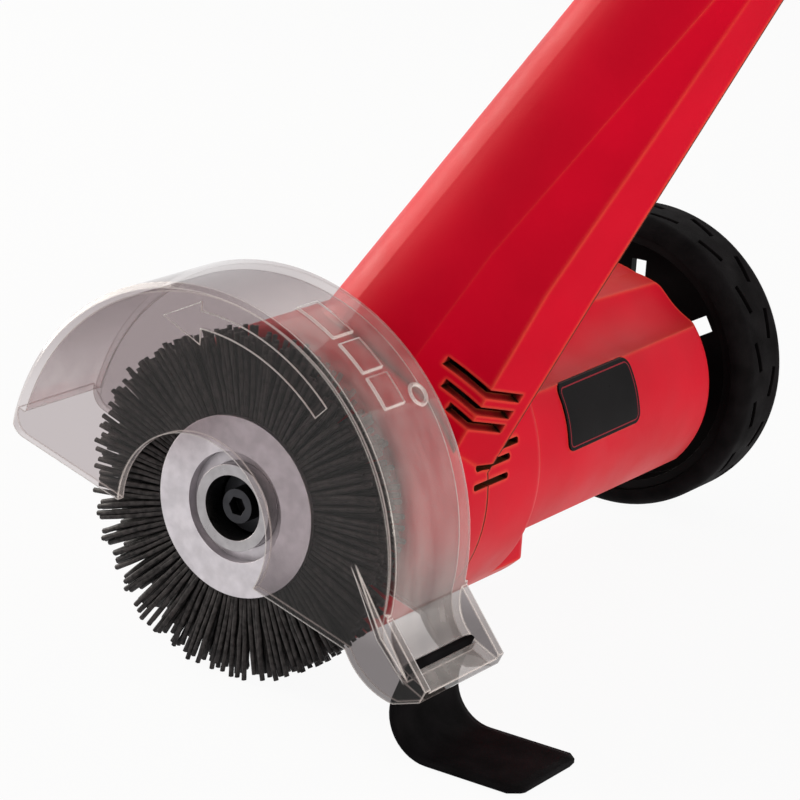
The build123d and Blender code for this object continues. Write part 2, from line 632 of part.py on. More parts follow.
def pan_screw(y_seat, y_tip, x, z, head_up=1):
    """A pan-head screw along Y: the head's seat, the tip, and the way the head points."""
    y_top = y_seat + head_up * CASE_HEAD
    head = rod(CASE_HEAD_R, max(y_seat, y_top), min(y_seat, y_top), x, z)
    shank = rod(CASE_SCREW_R, max(y_seat, y_tip), min(y_seat, y_tip), x, z)
    cross = Box(CROSS_LENGTH, 2 * CROSS_DEPTH, CROSS_W) + Box(CROSS_W, 2 * CROSS_DEPTH, CROSS_LENGTH)
    return head + shank - Pos(x, y_top, z) * cross


def housing_screws():
    """Gear case screws from the front, and arm screws from the wheel side."""
    screws = []
    for x, z in case_screw_places():
        screws.append(pan_screw(GEARBOX_FRONT_Y - HEAD_RECESS, TUBE_Y - BOSS_DEPTH + WALL + GEAR_GAP, x, z))
    for s, front in ARM_SCREW_PLACES:
        place = ARM * Pos(front, 0, s)
        x, z = place.position.X, place.position.Z
        screws.append(pan_screw(TUBE_Y - ARM_SCREW_REACH, TUBE_Y + ARM_SCREW_REACH - GEAR_GAP, x, z, -1))
    return Compound(children=screws)


# Bearings, gears and shafts
def bearing(outer, inner, width, y_front):
    """A ball bearing as one ring with grooved faces."""
    body = ring(outer, inner, y_front, y_front - width)
    middle, half = (outer + inner) / 2, (outer - inner) / 6
    groove = ring(middle + half, middle - half, y_front, y_front - BEARING_GROOVE)
    return body - groove - Pos(0, BEARING_GROOVE - width, 0) * groove


def gear_face(teeth, start):
    """Involute gear outline with backlash, one tooth centred on the start angle."""
    pitch_r = MODULE * teeth / 2
    base_r = pitch_r * cos(radians(PRESSURE_ANGLE))
    tip_r = pitch_r + ADDENDUM * MODULE
    root_r = pitch_r - DEDENDUM * MODULE
    low_r = max(base_r, root_r)
    involute = tan(radians(PRESSURE_ANGLE)) - radians(PRESSURE_ANGLE)
    half_tooth = pi / (2 * teeth) - BACKLASH / (2 * pitch_r) + involute
    flank = []
    for k in range(INVOLUTE_STEPS + 1):
        r = low_r + (tip_r - low_r) * k / INVOLUTE_STEPS
        turn = acos(min(1.0, base_r / r))
        flank.append((r, half_tooth - tan(turn) + turn))
    if root_r < low_r:
        flank.insert(0, (root_r, flank[0][1]))
    points = []
    for tooth in range(teeth):
        middle = radians(start) + 2 * pi * tooth / teeth
        for r, half in flank:
            points.append((r * cos(middle - half), r * sin(middle - half)))
        for r, half in reversed(flank):
            points.append((r * cos(middle + half), r * sin(middle + half)))
    return make_face(Polyline(*points, close=True))


def spur_gear(teeth, start, bore, y_front, y_rear, x=0.0, z=AXLE_Z):
    """A spur gear along Y with a plain bore."""
    return along_y(gear_face(teeth, start), y_front, y_rear, x, z) - rod(bore, y_front, y_rear, x, z)


def output_spindle():
    """Stepped spindle with its driving flange and the thread for the brush screw."""
    body = rod(SPINDLE_R, WEB_FRONT_Y - GEAR_GAP / 2, GEAR_PLATE_FRONT_Y)
    body += rod(SPINDLE_FLANGE_R, FLANGE_FRONT_Y, FLANGE_REAR_Y)
    body += rod(SPINDLE_SHOULDER_R, FLANGE_REAR_Y, BEARING_SHOULDER_Y)
    body += rod(SPINDLE_REAR_R, GEAR_PLATE_FRONT_Y, GEAR_PLATE_REAR_Y)
    return body - rod(SCREW_R + FIT_GAP, WEB_FRONT_Y, SCREW_SEAT_Y - SCREW_LENGTH - GEAR_GAP)


def output_gear():
    """Large gear on the spindle."""
    body = spur_gear(
        OUTPUT_GEAR_TEETH, MESH_ANGLE, SPINDLE_R + FIT_GAP, OUTPUT_GEAR_FRONT_Y, OUTPUT_GEAR_REAR_Y)
    sleeve_r = SPINDLE_R + GEAR_SLEEVE
    return body + ring(sleeve_r, SPINDLE_R + FIT_GAP, FRONT_BEARING_REAR_Y - FIT_GAP, OUTPUT_GEAR_FRONT_Y)


def layshaft():
    """Layshaft with the small pinion cut on it."""
    half_pitch = 180.0 / LAYSHAFT_PINION_TEETH
    pinion = along_y(
        gear_face(LAYSHAFT_PINION_TEETH, MESH_ANGLE + 180 - half_pitch),
        OUTPUT_GEAR_FRONT_Y + PINION_OVERLAP, OUTPUT_GEAR_REAR_Y - PINION_OVERLAP, LAYSHAFT_X, LAYSHAFT_Z)
    front = FRONT_BEARING_REAR_Y + BUSH_W - GEAR_GAP
    return pinion + rod(LAYSHAFT_R, front, BRACKET_REAR_Y, LAYSHAFT_X, LAYSHAFT_Z)


def layshaft_gear():
    """Large first-stage gear on the layshaft."""
    return spur_gear(
        LAYSHAFT_GEAR_TEETH, MESH_ANGLE + 180, LAYSHAFT_R + FIT_GAP,
        LAYSHAFT_GEAR_FRONT_Y, LAYSHAFT_GEAR_REAR_Y, LAYSHAFT_X, LAYSHAFT_Z)


def motor_pinion():
    """Small gear pressed on the motor shaft."""
    half_pitch = 180.0 / MOTOR_PINION_TEETH
    return spur_gear(
        MOTOR_PINION_TEETH, MESH_ANGLE - half_pitch, PINION_BORE_R + FIT_GAP,
        LAYSHAFT_GEAR_FRONT_Y + PINION_OVERLAP, LAYSHAFT_GEAR_REAR_Y - PINION_OVERLAP)


def bush(y_front):
    """Plain bearing bush of the layshaft."""
    return ring(BUSH_R, LAYSHAFT_R + FIT_GAP, y_front, y_front - BUSH_W, LAYSHAFT_X, LAYSHAFT_Z)


def plate_in_case(y_front, y_rear):
    """Round plate that fills the gear case and fits round its screw bosses."""
    body = rod(GEARBOX_R - WALL - FIT_GAP, y_front, y_rear)
    holes = [rod(BOSS_R + FIT_GAP, y_front, y_rear, x, z) for x, z in case_screw_places()]
    return body.cut(*holes)


def gear_plate():
    """Plate with the spindle's rear bearing, and a way through for the layshaft."""
    body = plate_in_case(GEAR_PLATE_FRONT_Y, GEAR_PLATE_REAR_Y)
    body -= rod(REAR_BEARING_R + FIT_GAP, GEAR_PLATE_FRONT_Y, GEAR_PLATE_REAR_Y)
    return body - rod(LAYSHAFT_R + GEAR_GAP, GEAR_PLATE_FRONT_Y, GEAR_PLATE_REAR_Y, LAYSHAFT_X, LAYSHAFT_Z)


def motor_bracket():
    """Plate with the motor's front bearing, the layshaft's rear bush and air windows."""
    body = plate_in_case(BRACKET_FRONT_Y, BRACKET_REAR_Y)
    body -= rod(REAR_BEARING_R + FIT_GAP, BRACKET_FRONT_Y, BRACKET_REAR_Y)
    body -= rod(BUSH_R + FIT_GAP, BRACKET_FRONT_Y, BRACKET_REAR_Y, LAYSHAFT_X, LAYSHAFT_Z)
    for angle in AIR_WINDOW_ANGLES:
        body -= rod(BOSS_R, BRACKET_FRONT_Y, BRACKET_REAR_Y, *polar(FAN_R - BOSS_R, angle))
    return body


# Motor
def armature_shaft():
    """Motor shaft, stepped down for the pinion."""
    return rod(SHAFT_R, BRACKET_FRONT_Y, CUP_BOTTOM_Y + GEAR_GAP) + rod(
        PINION_BORE_R, LAYSHAFT_GEAR_FRONT_Y + PINION_OVERLAP, BRACKET_FRONT_Y)


def armature_core():
    """Slotted laminated core."""
    body = ring(ARMATURE_R, SHAFT_R + FIT_GAP, STATOR_FRONT_Y, STATOR_REAR_Y)
    middle = (STATOR_FRONT_Y + STATOR_REAR_Y) / 2
    slots = []
    for k in range(ARMATURE_SLOTS):
        slot = Pos(ARMATURE_R, middle, 0) * Box(2 * ARMATURE_SLOT_DEPTH, 2 * STATOR_LENGTH, ARMATURE_SLOT_W)
        slots.append(Pos(0, 0, AXLE_Z) * Rot(0, 360 * k / ARMATURE_SLOTS, 0) * slot)
    return body.cut(*slots)


def armature_winding():
    """The two ends of the armature's winding."""
    front = ring(WINDING_R, SHAFT_R + FIT_GAP, STATOR_FRONT_Y + WINDING_W, STATOR_FRONT_Y)
    rear = ring(WINDING_R, SHAFT_R + FIT_GAP, STATOR_REAR_Y, WINDING_REAR_Y)
    ends = []
    for end in (front, rear):
        rim = [e for e in end.edges().filter_by(GeomType.CIRCLE) if abs(e.radius - WINDING_R) < 1e-6]
        ends.append(fillet(rim, WINDING_W / 3))
    return Compound(children=ends)


def commutator():
    """Commutator drum."""
    body = ring(COMMUTATOR_R, SHAFT_R + FIT_GAP, COMMUTATOR_FRONT_Y, COMMUTATOR_REAR_Y)
    riser = ring(COMMUTATOR_R + RISER, SHAFT_R + FIT_GAP, COMMUTATOR_FRONT_Y + GEAR_GAP, COMMUTATOR_FRONT_Y)
    return body + riser


def cooling_fan():
    """Fan with straight blades on a back plate."""
    plate_y = FAN_FRONT_Y - FAN_PLATE_T
    body = ring(FAN_R, SHAFT_R + FIT_GAP, FAN_FRONT_Y, plate_y)
    body += ring(FAN_HUB_R, SHAFT_R + FIT_GAP, plate_y, FAN_REAR_Y)
    blades = []
    r_in, r_out = FAN_HUB_R - FAN_BLADE_T, FAN_R - FAN_BLADE_T
    for k in range(FAN_BLADES):
        blade = Box(r_out - r_in, plate_y + FAN_PLATE_T / 2 - FAN_REAR_Y, FAN_BLADE_T)
        blade = Pos((r_in + r_out) / 2, (plate_y + FAN_PLATE_T / 2 + FAN_REAR_Y) / 2, 0) * blade
        blades.append(Pos(0, 0, AXLE_Z) * Rot(0, 360 * k / FAN_BLADES, 0) * blade)
    return body.fuse(*blades)


def sector(outer, inner, y_front, y_rear, middle, half):
    """A piece of a ring between two angles."""
    points = [(inner, y_front), (outer, y_front), (outer, y_rear), (inner, y_rear)]
    return turned(points, 2 * half, -middle - half)


def pole(middle, gap):
    """One pole shoe of the stator, grown by a gap."""
    reach = degrees(gap / ARMATURE_R)
    return sector(
        STATOR_BORE_R + gap, ARMATURE_R + AIR_GAP - gap, STATOR_FRONT_Y + gap, STATOR_REAR_Y - gap,
        middle, POLE_HALF_ANGLE + reach)


def stator_core():
    """Stator ring with two poles."""
    return ring(STATOR_R, STATOR_BORE_R, STATOR_FRONT_Y, STATOR_REAR_Y).fuse(pole(90, 0), pole(270, 0))


def field_coils():
    """Two saddle coils, each round its pole."""
    coils = []
    for middle in (90, 270):
        block = sector(
            STATOR_BORE_R - SLIDE_GAP, ARMATURE_R + AIR_GAP + SLIDE_GAP,
            STATOR_FRONT_Y + COIL_OVERHANG, STATOR_REAR_Y - COIL_OVERHANG, middle, COIL_HALF_ANGLE)
        coils.append(block - pole(middle, SLIDE_GAP))
    return Compound(children=coils)


def carbon_ring():
    """Insulating ring that carries the brush holders."""
    return ring(STATOR_R, BRUSH_RING_BORE_R, BRUSH_RING_FRONT_Y, BRUSH_RING_REAR_Y)


def radial_box(r_in, length, width, height, side):
    """A box lying along X at the carbon brushes' place, on one side of the axle line."""
    return Pos(side * (r_in + length / 2), CARBON_Y, AXLE_Z) * Box(length, width, height)


def brush_holders():
    """Two box-section holders on the ring."""
    holders = []
    for side in (-1, 1):
        r_in = COMMUTATOR_R + 2 * GEAR_GAP
        room = SLIDE_GAP * 2
        tube = radial_box(r_in, HOLDER_LENGTH, 2 * HOLDER_HALF_Y, CARBON_H + room + 2 * HOLDER_WALL, side)
        holders.append(tube - radial_box(r_in, HOLDER_LENGTH, CARBON_W + room, CARBON_H + room, side))
    return Compound(children=holders)


def carbon_brushes():
    """Two carbon blocks in the holders."""
    r_in = COMMUTATOR_R + SLIDE_GAP
    return Compound(children=[radial_box(r_in, CARBON_LENGTH, CARBON_W, CARBON_H, side) for side in (-1, 1)])


# Brush
def brush_front_plate():
    """Pressed disc with a flat rim and a ring-shaped recess round the hub."""
    inner = HUB_R + FIT_GAP
    return turned([
        (inner, -PLATE_RECESS), (PLATE_RECESS_R, -PLATE_RECESS), (PLATE_RECESS_R, 0), (PLATE_R, 0),
        (PLATE_R, -PLATE_T), (PLATE_RECESS_R + PLATE_T, -PLATE_T),
        (PLATE_RECESS_R + PLATE_T, -PLATE_RECESS - PLATE_T), (inner, -PLATE_RECESS - PLATE_T),
    ])


def brush_rear_plate():
    """Flat disc behind the bristles."""
    return ring(PLATE_R, HUB_R + FIT_GAP, BRUSH_REAR_Y + PLATE_T, BRUSH_REAR_Y)


def brush_hub():
    """Cup-shaped hub: collar, web on the spindle and a flange behind the rear plate."""
    body = rod(HUB_R, HUB_PROUD, FLANGE_FRONT_Y) + rod(HUB_FLANGE_R, BRUSH_REAR_Y, FLANGE_FRONT_Y)
    body -= rod(HUB_BORE_R, HUB_PROUD, WEB_FRONT_Y)
    return body - rod(SPINDLE_R + FIT_GAP, WEB_FRONT_Y, FLANGE_FRONT_Y)


def brush_washer():
    """Washer under the brush screw."""
    return ring(WASHER_R, SCREW_R + SLIDE_GAP, SCREW_SEAT_Y, WEB_FRONT_Y)


def brush_screw():
    """Socket-head screw that holds the brush on the spindle."""
    body = rod(SCREW_HEAD_R, SCREW_SEAT_Y + SCREW_HEAD, SCREW_SEAT_Y)
    body += rod(SCREW_R, SCREW_SEAT_Y, SCREW_SEAT_Y - SCREW_LENGTH)
    top = SCREW_SEAT_Y + SCREW_HEAD
    hexagon = RegularPolygon(HEX_ACROSS / 2, 6, major_radius=False)
    return body - along_y(hexagon, top, top - HEX_DEPTH, 0, AXLE_Z)


def brush_bristles():
    """Stiff strands in rows, fanning out from a backing ring to the brush's rim."""
    front = -PLATE_T - SOFT_GAP
    rear = BRUSH_REAR_Y + PLATE_T + SOFT_GAP
    backing = ring(BACKING_R_OUT, BACKING_R_IN, front, rear)
    root_r = (BACKING_R_IN + BACKING_R_OUT) / 2
    strands = []
    for row in range(STRAND_ROWS):
        share = (row + 0.5) / STRAND_ROWS
        root_y = front + (rear - front) * share
        tip_y = STRAND_SPREAD_FRONT + (BRUSH_REAR_Y - STRAND_SPREAD_REAR - STRAND_SPREAD_FRONT) * share
        for k in range(STRANDS_PER_ROW):
            angle = 2 * pi * (k + 0.5 * (row % 2)) / STRANDS_PER_ROW
            tip_r = BRUSH_R - STRAND_UNEVEN * ((5 * k + 3 * row) % STRAND_CYCLE) / (STRAND_CYCLE - 1)
            outward = Vector(cos(angle), 0, sin(angle))
            root = Vector(0, root_y, AXLE_Z) + outward * root_r
            tip = Vector(0, tip_y, AXLE_Z) + outward * tip_r
            plane = Plane(root, x_dir=(0, 1, 0), z_dir=tip - root)
            strands.append(Solid.extrude(Face.make_rect(STRAND_SIDE, STRAND_SIDE, plane), tip - root))
    return backing.fuse(*strands)


# Guard and flap
def edge_height(x):
    """Height of the guard's straight lower edge."""
    return AXLE_Z - GUARD_EDGE_DROP + x * tan(radians(GUARD_EDGE_ANGLE))


def guard_tip_angle():
    """Angle round the axle line at which the lower edge meets the guard's front."""
    return GUARD_EDGE_ANGLE - degrees(asin(GUARD_EDGE_DROP * cos(radians(GUARD_EDGE_ANGLE)) / GUARD_R))


def flare():
    """Centre of the flare's curve, and the end of the lip on the wall's middle line."""
    mid_r = GUARD_R - GUARD_T / 2
    centre = polar(mid_r + FLARE_R, FLARE_ANGLE)
    turn = radians(FLARE_END_ANGLE)
    end = (centre[0] + FLARE_R * cos(turn), centre[1] + FLARE_R * sin(turn))
    return centre, (end[0] + LIP_LENGTH * sin(turn), end[1] - LIP_LENGTH * cos(turn))


def lip_point(out):
    """A point at the lip's end, moved out from the wall's middle line."""
    lip = flare()[1]
    return lip[0] - out * cos(radians(FLARE_END_ANGLE)), lip[1] - out * sin(radians(FLARE_END_ANGLE))


def side_wall_face():
    """Outline of the guard's side walls: the round top, the flared foot and the straight lower edge."""
    tip = polar(GUARD_R, guard_tip_angle())
    top = polar(GUARD_R, GUARD_TOP_ANGLE)
    shoulder = polar(GUARD_R, FLARE_ANGLE - FLARE_LEAD)
    lip = flare()[1]
    chin = (lip[0] + CHIN_STEP[0], lip[1] + CHIN_STEP[1])
    rise = (lip[0] + CHIN_RISE[0], lip[1] + CHIN_RISE[1])
    edge_end = (lip[0] + EDGE_REAR_STEP, edge_height(lip[0] + EDGE_REAR_STEP))
    lines = [
        ThreePointArc(tip, top, shoulder),
        Polyline(shoulder, lip_point(GUARD_T / 2 + LIP_STEP), lip_point(-GUARD_T / 2), chin),
        ThreePointArc(chin, rise, edge_end),
        Line(edge_end, tip),
    ]
    face = make_face(lines)
    return fillet(corners_at(face, [tip]), GUARD_CORNER_R)


def wall_strip_face():
    """The guard's outer wall seen from the side: the round band, the flare and the lip."""
    inner_r = GUARD_R - GUARD_T
    start = guard_tip_angle() + degrees(GUARD_CORNER_R / GUARD_R)
    band = make_face([
        ThreePointArc(polar(GUARD_R, start), polar(GUARD_R, GUARD_TOP_ANGLE), polar(GUARD_R, FLARE_ANGLE)),
        Line(polar(GUARD_R, FLARE_ANGLE), polar(inner_r, FLARE_ANGLE)),
        ThreePointArc(polar(inner_r, FLARE_ANGLE), polar(inner_r, GUARD_TOP_ANGLE), polar(inner_r, start)),
        Line(polar(inner_r, start), polar(GUARD_R, start)),
    ])
    centre = flare()[0]
    turn = FLARE_ANGLE - 180 - FLARE_END_ANGLE
    half = GUARD_T / 2
    outer = CenterArc(centre, FLARE_R + half, FLARE_END_ANGLE, turn)
    inner = CenterArc(centre, FLARE_R - half, FLARE_END_ANGLE, turn)
    bend = make_face([outer, Line(outer @ 1, inner @ 1), inner, Line(inner @ 0, outer @ 0)])
    straight = make_face(Polyline(outer @ 0, inner @ 0, lip_point(half), lip_point(-half), close=True))
    return band + bend + straight


def guard_bevel(y, side):
    """What the chamfer takes off the guard's outer edge at one of its side walls."""
    over = GUARD_CHAMFER / 2
    reach = GUARD_CHAMFER + over
    outside = (GUARD_R + over, y + side * over)
    points = [(GUARD_R - reach, y + side * over), outside, (GUARD_R + over, y - side * reach)]
    start, end = guard_tip_angle(), FLARE_ANGLE - 2 * FLARE_LEAD
    return turned(points, end - start, -end)


def gusset():
    """Fin that stands on the guard's front wall and runs down to its lip."""
    start = Vector(*polar(GUARD_R - GUSSET_INSET, GUSSET_ANGLE))
    lip = flare()[1]
    run = Vector(lip[0] + GUSSET_END[0], lip[1] + GUSSET_END[1]) - start
    plane = Plane((start.X, GUARD_FRONT_Y, start.Y), x_dir=(run.X, 0, run.Y), z_dir=(-run.Y, 0, run.X))
    peak = (GUSSET_PEAK * run.length, GUSSET_PROUD)
    root = -GUARD_T / 2
    face = make_face(Polyline((0, 0), peak, (run.length, 0), (run.length, root), (0, root), close=True))
    return extrude(plane * face, amount=GUSSET_T / 2, both=True)


def brush_guard():
    """Clear guard: side walls, outer wall, flared foot with the flap's slot, hub notch, fin and pads."""
    wall = side_wall_face()
    notch = Pos(0, AXLE_Z) * Circle(GUARD_NOTCH_R)
    body = along_y(wall - notch, GUARD_FRONT_Y, GUARD_FRONT_Y - GUARD_T)
    hub = Pos(0, AXLE_Z) * Circle(GUARD_HUB_R)
    body += along_y(wall - hub, GUARD_REAR_Y + GUARD_T, GUARD_REAR_Y)
    body += along_y(wall_strip_face(), GUARD_FRONT_Y, GUARD_REAR_Y)
    body += gusset()
    low_r, high_r = GUARD_R - GUARD_T / 2, GUARD_R + PAD_PROUD
    pad_front, pad_rear = PAD_Y + PAD_WIDTH / 2, PAD_Y - PAD_WIDTH / 2
    for start, end in PAD_SPANS:
        body += sector(high_r, low_r, pad_front, pad_rear, (start + end) / 2, (end - start) / 2)
    mark = Pos((low_r + high_r) / 2, 0, 0) * Rot(0, 90, 0) * Cylinder(RING_MARK_R, high_r - low_r)
    mark -= Rot(0, 90, 0) * Cylinder(RING_MARK_R - PAD_PROUD, 4 * GUARD_R)
    body += Pos(0, RING_MARK_Y, AXLE_Z) * Rot(0, -RING_MARK_ANGLE, 0) * mark
    slot = Pos(0, GUARD_MID_Y, 0) * flap_stretch(FLAP_T + 2 * SOFT_GAP, FLAP_WIDTH + 2 * SOFT_GAP)
    holes = [slot, guard_bevel(GUARD_FRONT_Y, 1), guard_bevel(GUARD_REAR_Y, -1)]
    for x, z in guard_screw_places():
        holes.append(rod(CASE_SCREW_R + SLIDE_GAP, GUARD_REAR_Y + GUARD_T, GUARD_REAR_Y, x, z))
    return body.cut(*holes)


def guard_screws():
    """Screws that hold the guard's rear wall on the gearbox."""
    seat, tip = GUARD_REAR_Y + GUARD_T, BEARING_SHOULDER_Y + GEAR_GAP
    return Compound(children=[pan_screw(seat, tip, x, z) for x, z in guard_screw_places()])


def flap_line():
    """Middle line of the flap: through the slot, round the bend, out along the ground."""
    lean = radians(FLAP_LEAN)
    centre = flare()[0]
    turn = radians(FLAP_SLOT_TURN)
    slot = (centre[0] + FLARE_R * cos(turn), centre[1] - FLARE_R * sin(turn))
    down = (sin(lean), -cos(lean))
    ground = FLAP_T / 2 + SOFT_GAP
    bend_start_z = ground + FLAP_BEND_R * (1 + sin(lean))
    run = (slot[1] - bend_start_z) / cos(lean)
    start = (slot[0] - FLAP_PROUD * down[0], slot[1] - FLAP_PROUD * down[1])
    bend_start = (slot[0] + run * down[0], bend_start_z)
    bend_centre = (bend_start[0] - FLAP_BEND_R * cos(lean), bend_start_z - FLAP_BEND_R * sin(lean))
    return start, bend_start, bend_centre, ground


def flap_stretch(thick, width):
    """The flap's straight stretch through the slot, about the guard's middle."""
    start, bend_start, _, _ = flap_line()
    side = Vector(cos(radians(FLAP_LEAN)), sin(radians(FLAP_LEAN))) * thick / 2
    top, low = Vector(*start), Vector(*bend_start)
    face = make_face(Polyline(top - side, top + side, low + side, low - side, close=True))
    return along_y(face, width / 2, -width / 2)


def splash_flap():
    """Rubber flap hanging from the guard's foot and bending out along the ground."""
    _, _, centre, ground = flap_line()
    half = FLAP_T / 2
    outer = CenterArc(centre, FLAP_BEND_R + half, -90, 90 + FLAP_LEAN)
    inner = CenterArc(centre, FLAP_BEND_R - half, -90, 90 + FLAP_LEAN)
    bend = make_face([outer, Line(outer @ 1, inner @ 1), inner, Line(inner @ 0, outer @ 0)])
    tail = Pos(centre[0] - FLAP_TAIL / 2, ground) * Rectangle(FLAP_TAIL, FLAP_T)
    body = flap_stretch(FLAP_T, FLAP_WIDTH) + along_y(bend + tail, FLAP_WIDTH / 2, -FLAP_WIDTH / 2)
    return Pos(0, GUARD_MID_Y, 0) * body


# Support wheel
def wheel_rim():
    """Black wheel body: rim, web with see-through windows, and hub."""
    body = ring(RIM_R, RIM_R - RIM_T, WHEEL_INNER_Y - GEAR_GAP, WHEEL_OUTER_Y + GEAR_GAP)
    body += ring(RIM_R, WHEEL_HUB_R, WEB_Y, WEB_Y - WEB_T)
    body += rod(WHEEL_HUB_R, HUB_INNER_Y, HUB_OUTER_Y)
    windows = []
    for k in range(WINDOWS):
        middle = (WINDOW_R_IN + WINDOW_R_OUT) / 2
        window = Pos(middle, WEB_Y, 0) * Box(WINDOW_R_OUT - WINDOW_R_IN, 4 * WEB_T, WINDOW_W)
        windows.append(Pos(0, 0, AXLE_Z) * Rot(0, 360 * (k + 0.5) / WINDOWS, 0) * window)
    body = body.cut(*windows)
    return body - rod(WHEEL_BUSH_R + FIT_GAP, HUB_INNER_Y, HUB_OUTER_Y)


def wheel_tyre():
    """Hard rubber tyre with rounded shoulders and two rows of slits round its tread."""
    corners = [(AXLE_Z, WHEEL_INNER_Y), (AXLE_Z, WHEEL_OUTER_Y)]
    bore = [(RIM_R + FIT_GAP, WHEEL_OUTER_Y), (RIM_R + FIT_GAP, WHEEL_INNER_Y)]
    face = make_face(Polyline(*corners, *bore, close=True))
    body = revolve(Pos(0, 0, AXLE_Z) * fillet(corners_at(face, corners), TYRE_SHOULDER), AXLE_LINE)
    slits = []
    for k in range(TREAD_SLITS):
        for side in (1, -1):
            slit = Rot(side * TREAD_SLANT, 0, 0) * Box(2 * TREAD_SLIT_DEPTH, TREAD_SLIT_W, TREAD_SLIT_LENGTH)
            turn = 360 * (k + max(0, side) * TREAD_STAGGER) / TREAD_SLITS
            slit = Pos(AXLE_Z, WHEEL_MID_Y + side * TREAD_STEP, 0) * slit
            slits.append(Pos(0, 0, AXLE_Z) * Rot(0, turn, 0) * slit)
    return body.cut(*slits)


def wheel_bush():
    """Plain bush pressed into the wheel's hub."""
    return ring(WHEEL_BUSH_R, AXLE_R + FIT_GAP, HUB_INNER_Y, HUB_OUTER_Y)


def wheel_axle():
    """Steel stub axle pressed into the barrel's end."""
    return rod(AXLE_R, AXLE_INNER_Y, HUB_OUTER_Y - FIT_GAP) - rod(
        AXLE_SCREW_R + FIT_GAP, HUB_OUTER_Y + 3 * AXLE_SCREW_HEAD_R, HUB_OUTER_Y - FIT_GAP)


def axle_washer():
    """Washer that keeps the wheel on the axle."""
    front = HUB_OUTER_Y - FIT_GAP
    return ring(AXLE_WASHER_R, AXLE_SCREW_R + SLIDE_GAP, front, front - AXLE_WASHER_T)


def axle_screw():
    """Screw in the end of the axle."""
    seat = HUB_OUTER_Y - FIT_GAP - AXLE_WASHER_T
    return rod(AXLE_SCREW_HEAD_R, seat, seat - AXLE_SCREW_HEAD) + rod(
        AXLE_SCREW_R, seat + 3 * AXLE_SCREW_HEAD_R - GEAR_GAP, seat)


def wheel_cap():
    """Cap let into the wheel's outer side, over the axle screw."""
    skirt = ring(WHEEL_HUB_R + CAP_T, WHEEL_HUB_R + FIT_GAP, WEB_Y - WEB_T - MOVE_GAP, WHEEL_OUTER_Y)
    return skirt + rod(WHEEL_HUB_R + CAP_T, WHEEL_OUTER_Y + CAP_T, WHEEL_OUTER_Y)


# Telescopic tubes and their clamp
def lower_tube():
    """Outer aluminium tube, fixed in the arm."""
    body = tube_rod(LOWER_TUBE_R, LOWER_TUBE_FROM_S, LOWER_TUBE_TO_S)
    return ARM * (body - tube_rod(LOWER_TUBE_R - LOWER_TUBE_WALL, LOWER_TUBE_FROM_S, LOWER_TUBE_TO_S))


def upper_tube():
    """Inner aluminium tube, sliding in the outer one."""
    top = HANDLE_S + SOCKET_DEPTH
    return ARM * (tube_rod(UPPER_TUBE_R, UPPER_TUBE_FROM_S, top) - tube_rod(
        UPPER_TUBE_R - UPPER_TUBE_WALL, UPPER_TUBE_FROM_S, top))


def clamp_span():
    """Lower and upper end of the tube clamp along the tube."""
    top = LOWER_TUBE_TO_S + CLAMP_OVER
    return top - CLAMP_LENGTH, top


def lug_span():
    """Lower and upper end of the lever's room between the clamp's lugs."""
    low, top = clamp_span()
    middle = (low + top) / 2
    return middle - LUG_ROOM / 2, middle + LUG_ROOM / 2


def tube_clamp():
    """Collar on the end of the lower tube, with two lugs for the lever's pin."""
    low, top = clamp_span()
    body = tube_rod(CLAMP_R, low, top)
    pin_y = CLAMP_R + CLAMP_PIN_OUT
    for start in (lug_span()[0] - LUG_T, lug_span()[1]):
        body += Pos(0, pin_y / 2, start + LUG_T / 2) * Box(2 * LUG_HALF, pin_y, LUG_T)
        body += tube_rod(LUG_HALF, start, start + LUG_T, 0, pin_y)
    body -= tube_rod(LOWER_TUBE_R + FIT_GAP, low, LOWER_TUBE_TO_S)
    body -= tube_rod(UPPER_TUBE_R + SLIDE_GAP, low, top)
    return ARM * (body - tube_rod(CLAMP_PIN_R + FIT_GAP, low, top, 0, pin_y))


def clamp_pin():
    """Steel pin through the lugs."""
    low, top = lug_span()
    return ARM * tube_rod(CLAMP_PIN_R, low - LUG_T, top + LUG_T, 0, CLAMP_R + CLAMP_PIN_OUT)


def clamp_lever():
    """Curved lever that lies round the collar's front and swings out about the pin."""
    low, top = lug_span()
    low, top = low + MOVE_GAP, top - MOVE_GAP
    pin_y = CLAMP_R + CLAMP_PIN_OUT
    inner = CLAMP_R + MOVE_GAP
    band = tube_rod(inner + LEVER_T, low, top) - tube_rod(inner, low, top)
    wedge_size = 4 * CLAMP_R
    keep = Pos(wedge_size / 2, 0, (low + top) / 2) * Box(wedge_size, wedge_size, top - low)
    spare = Rot(0, 0, 90 - LEVER_SWEEP) * Pos(wedge_size / 2, -wedge_size / 2, (low + top) / 2) * Box(
        wedge_size, wedge_size, top - low)
    arm = (band & keep) - spare
    body = arm + tube_rod(CLAMP_PIN_OUT - MOVE_GAP, low, top, 0, pin_y)
    return ARM * (body - tube_rod(CLAMP_PIN_R + FIT_GAP, low, top, 0, pin_y))


# Second handle
def aux_bracket():
    """Ring clamped on the upper tube, with two ears for the second handle."""
    body = tube_rod(BRACKET_R, BRACKET_S, BRACKET_S + BRACKET_LENGTH)
    body += Pos(AUX_PIVOT / 2, 0, aux_s()) * Box(AUX_PIVOT, 2 * EAR_HALF, 2 * EAR_R)
    body += cross_rod(EAR_R, -EAR_HALF, EAR_HALF, AUX_PIVOT, aux_s())
    body -= tube_rod(UPPER_TUBE_R + FIT_GAP, BRACKET_S, BRACKET_S + BRACKET_LENGTH)
    return ARM * (body - cross_rod(AUX_BOLT_R + FIT_GAP, -EAR_HALF, EAR_HALF, AUX_PIVOT, aux_s()))


def aux_s():
    """Place of the second handle's bolt along the tube."""
    return BRACKET_S + BRACKET_LENGTH / 2


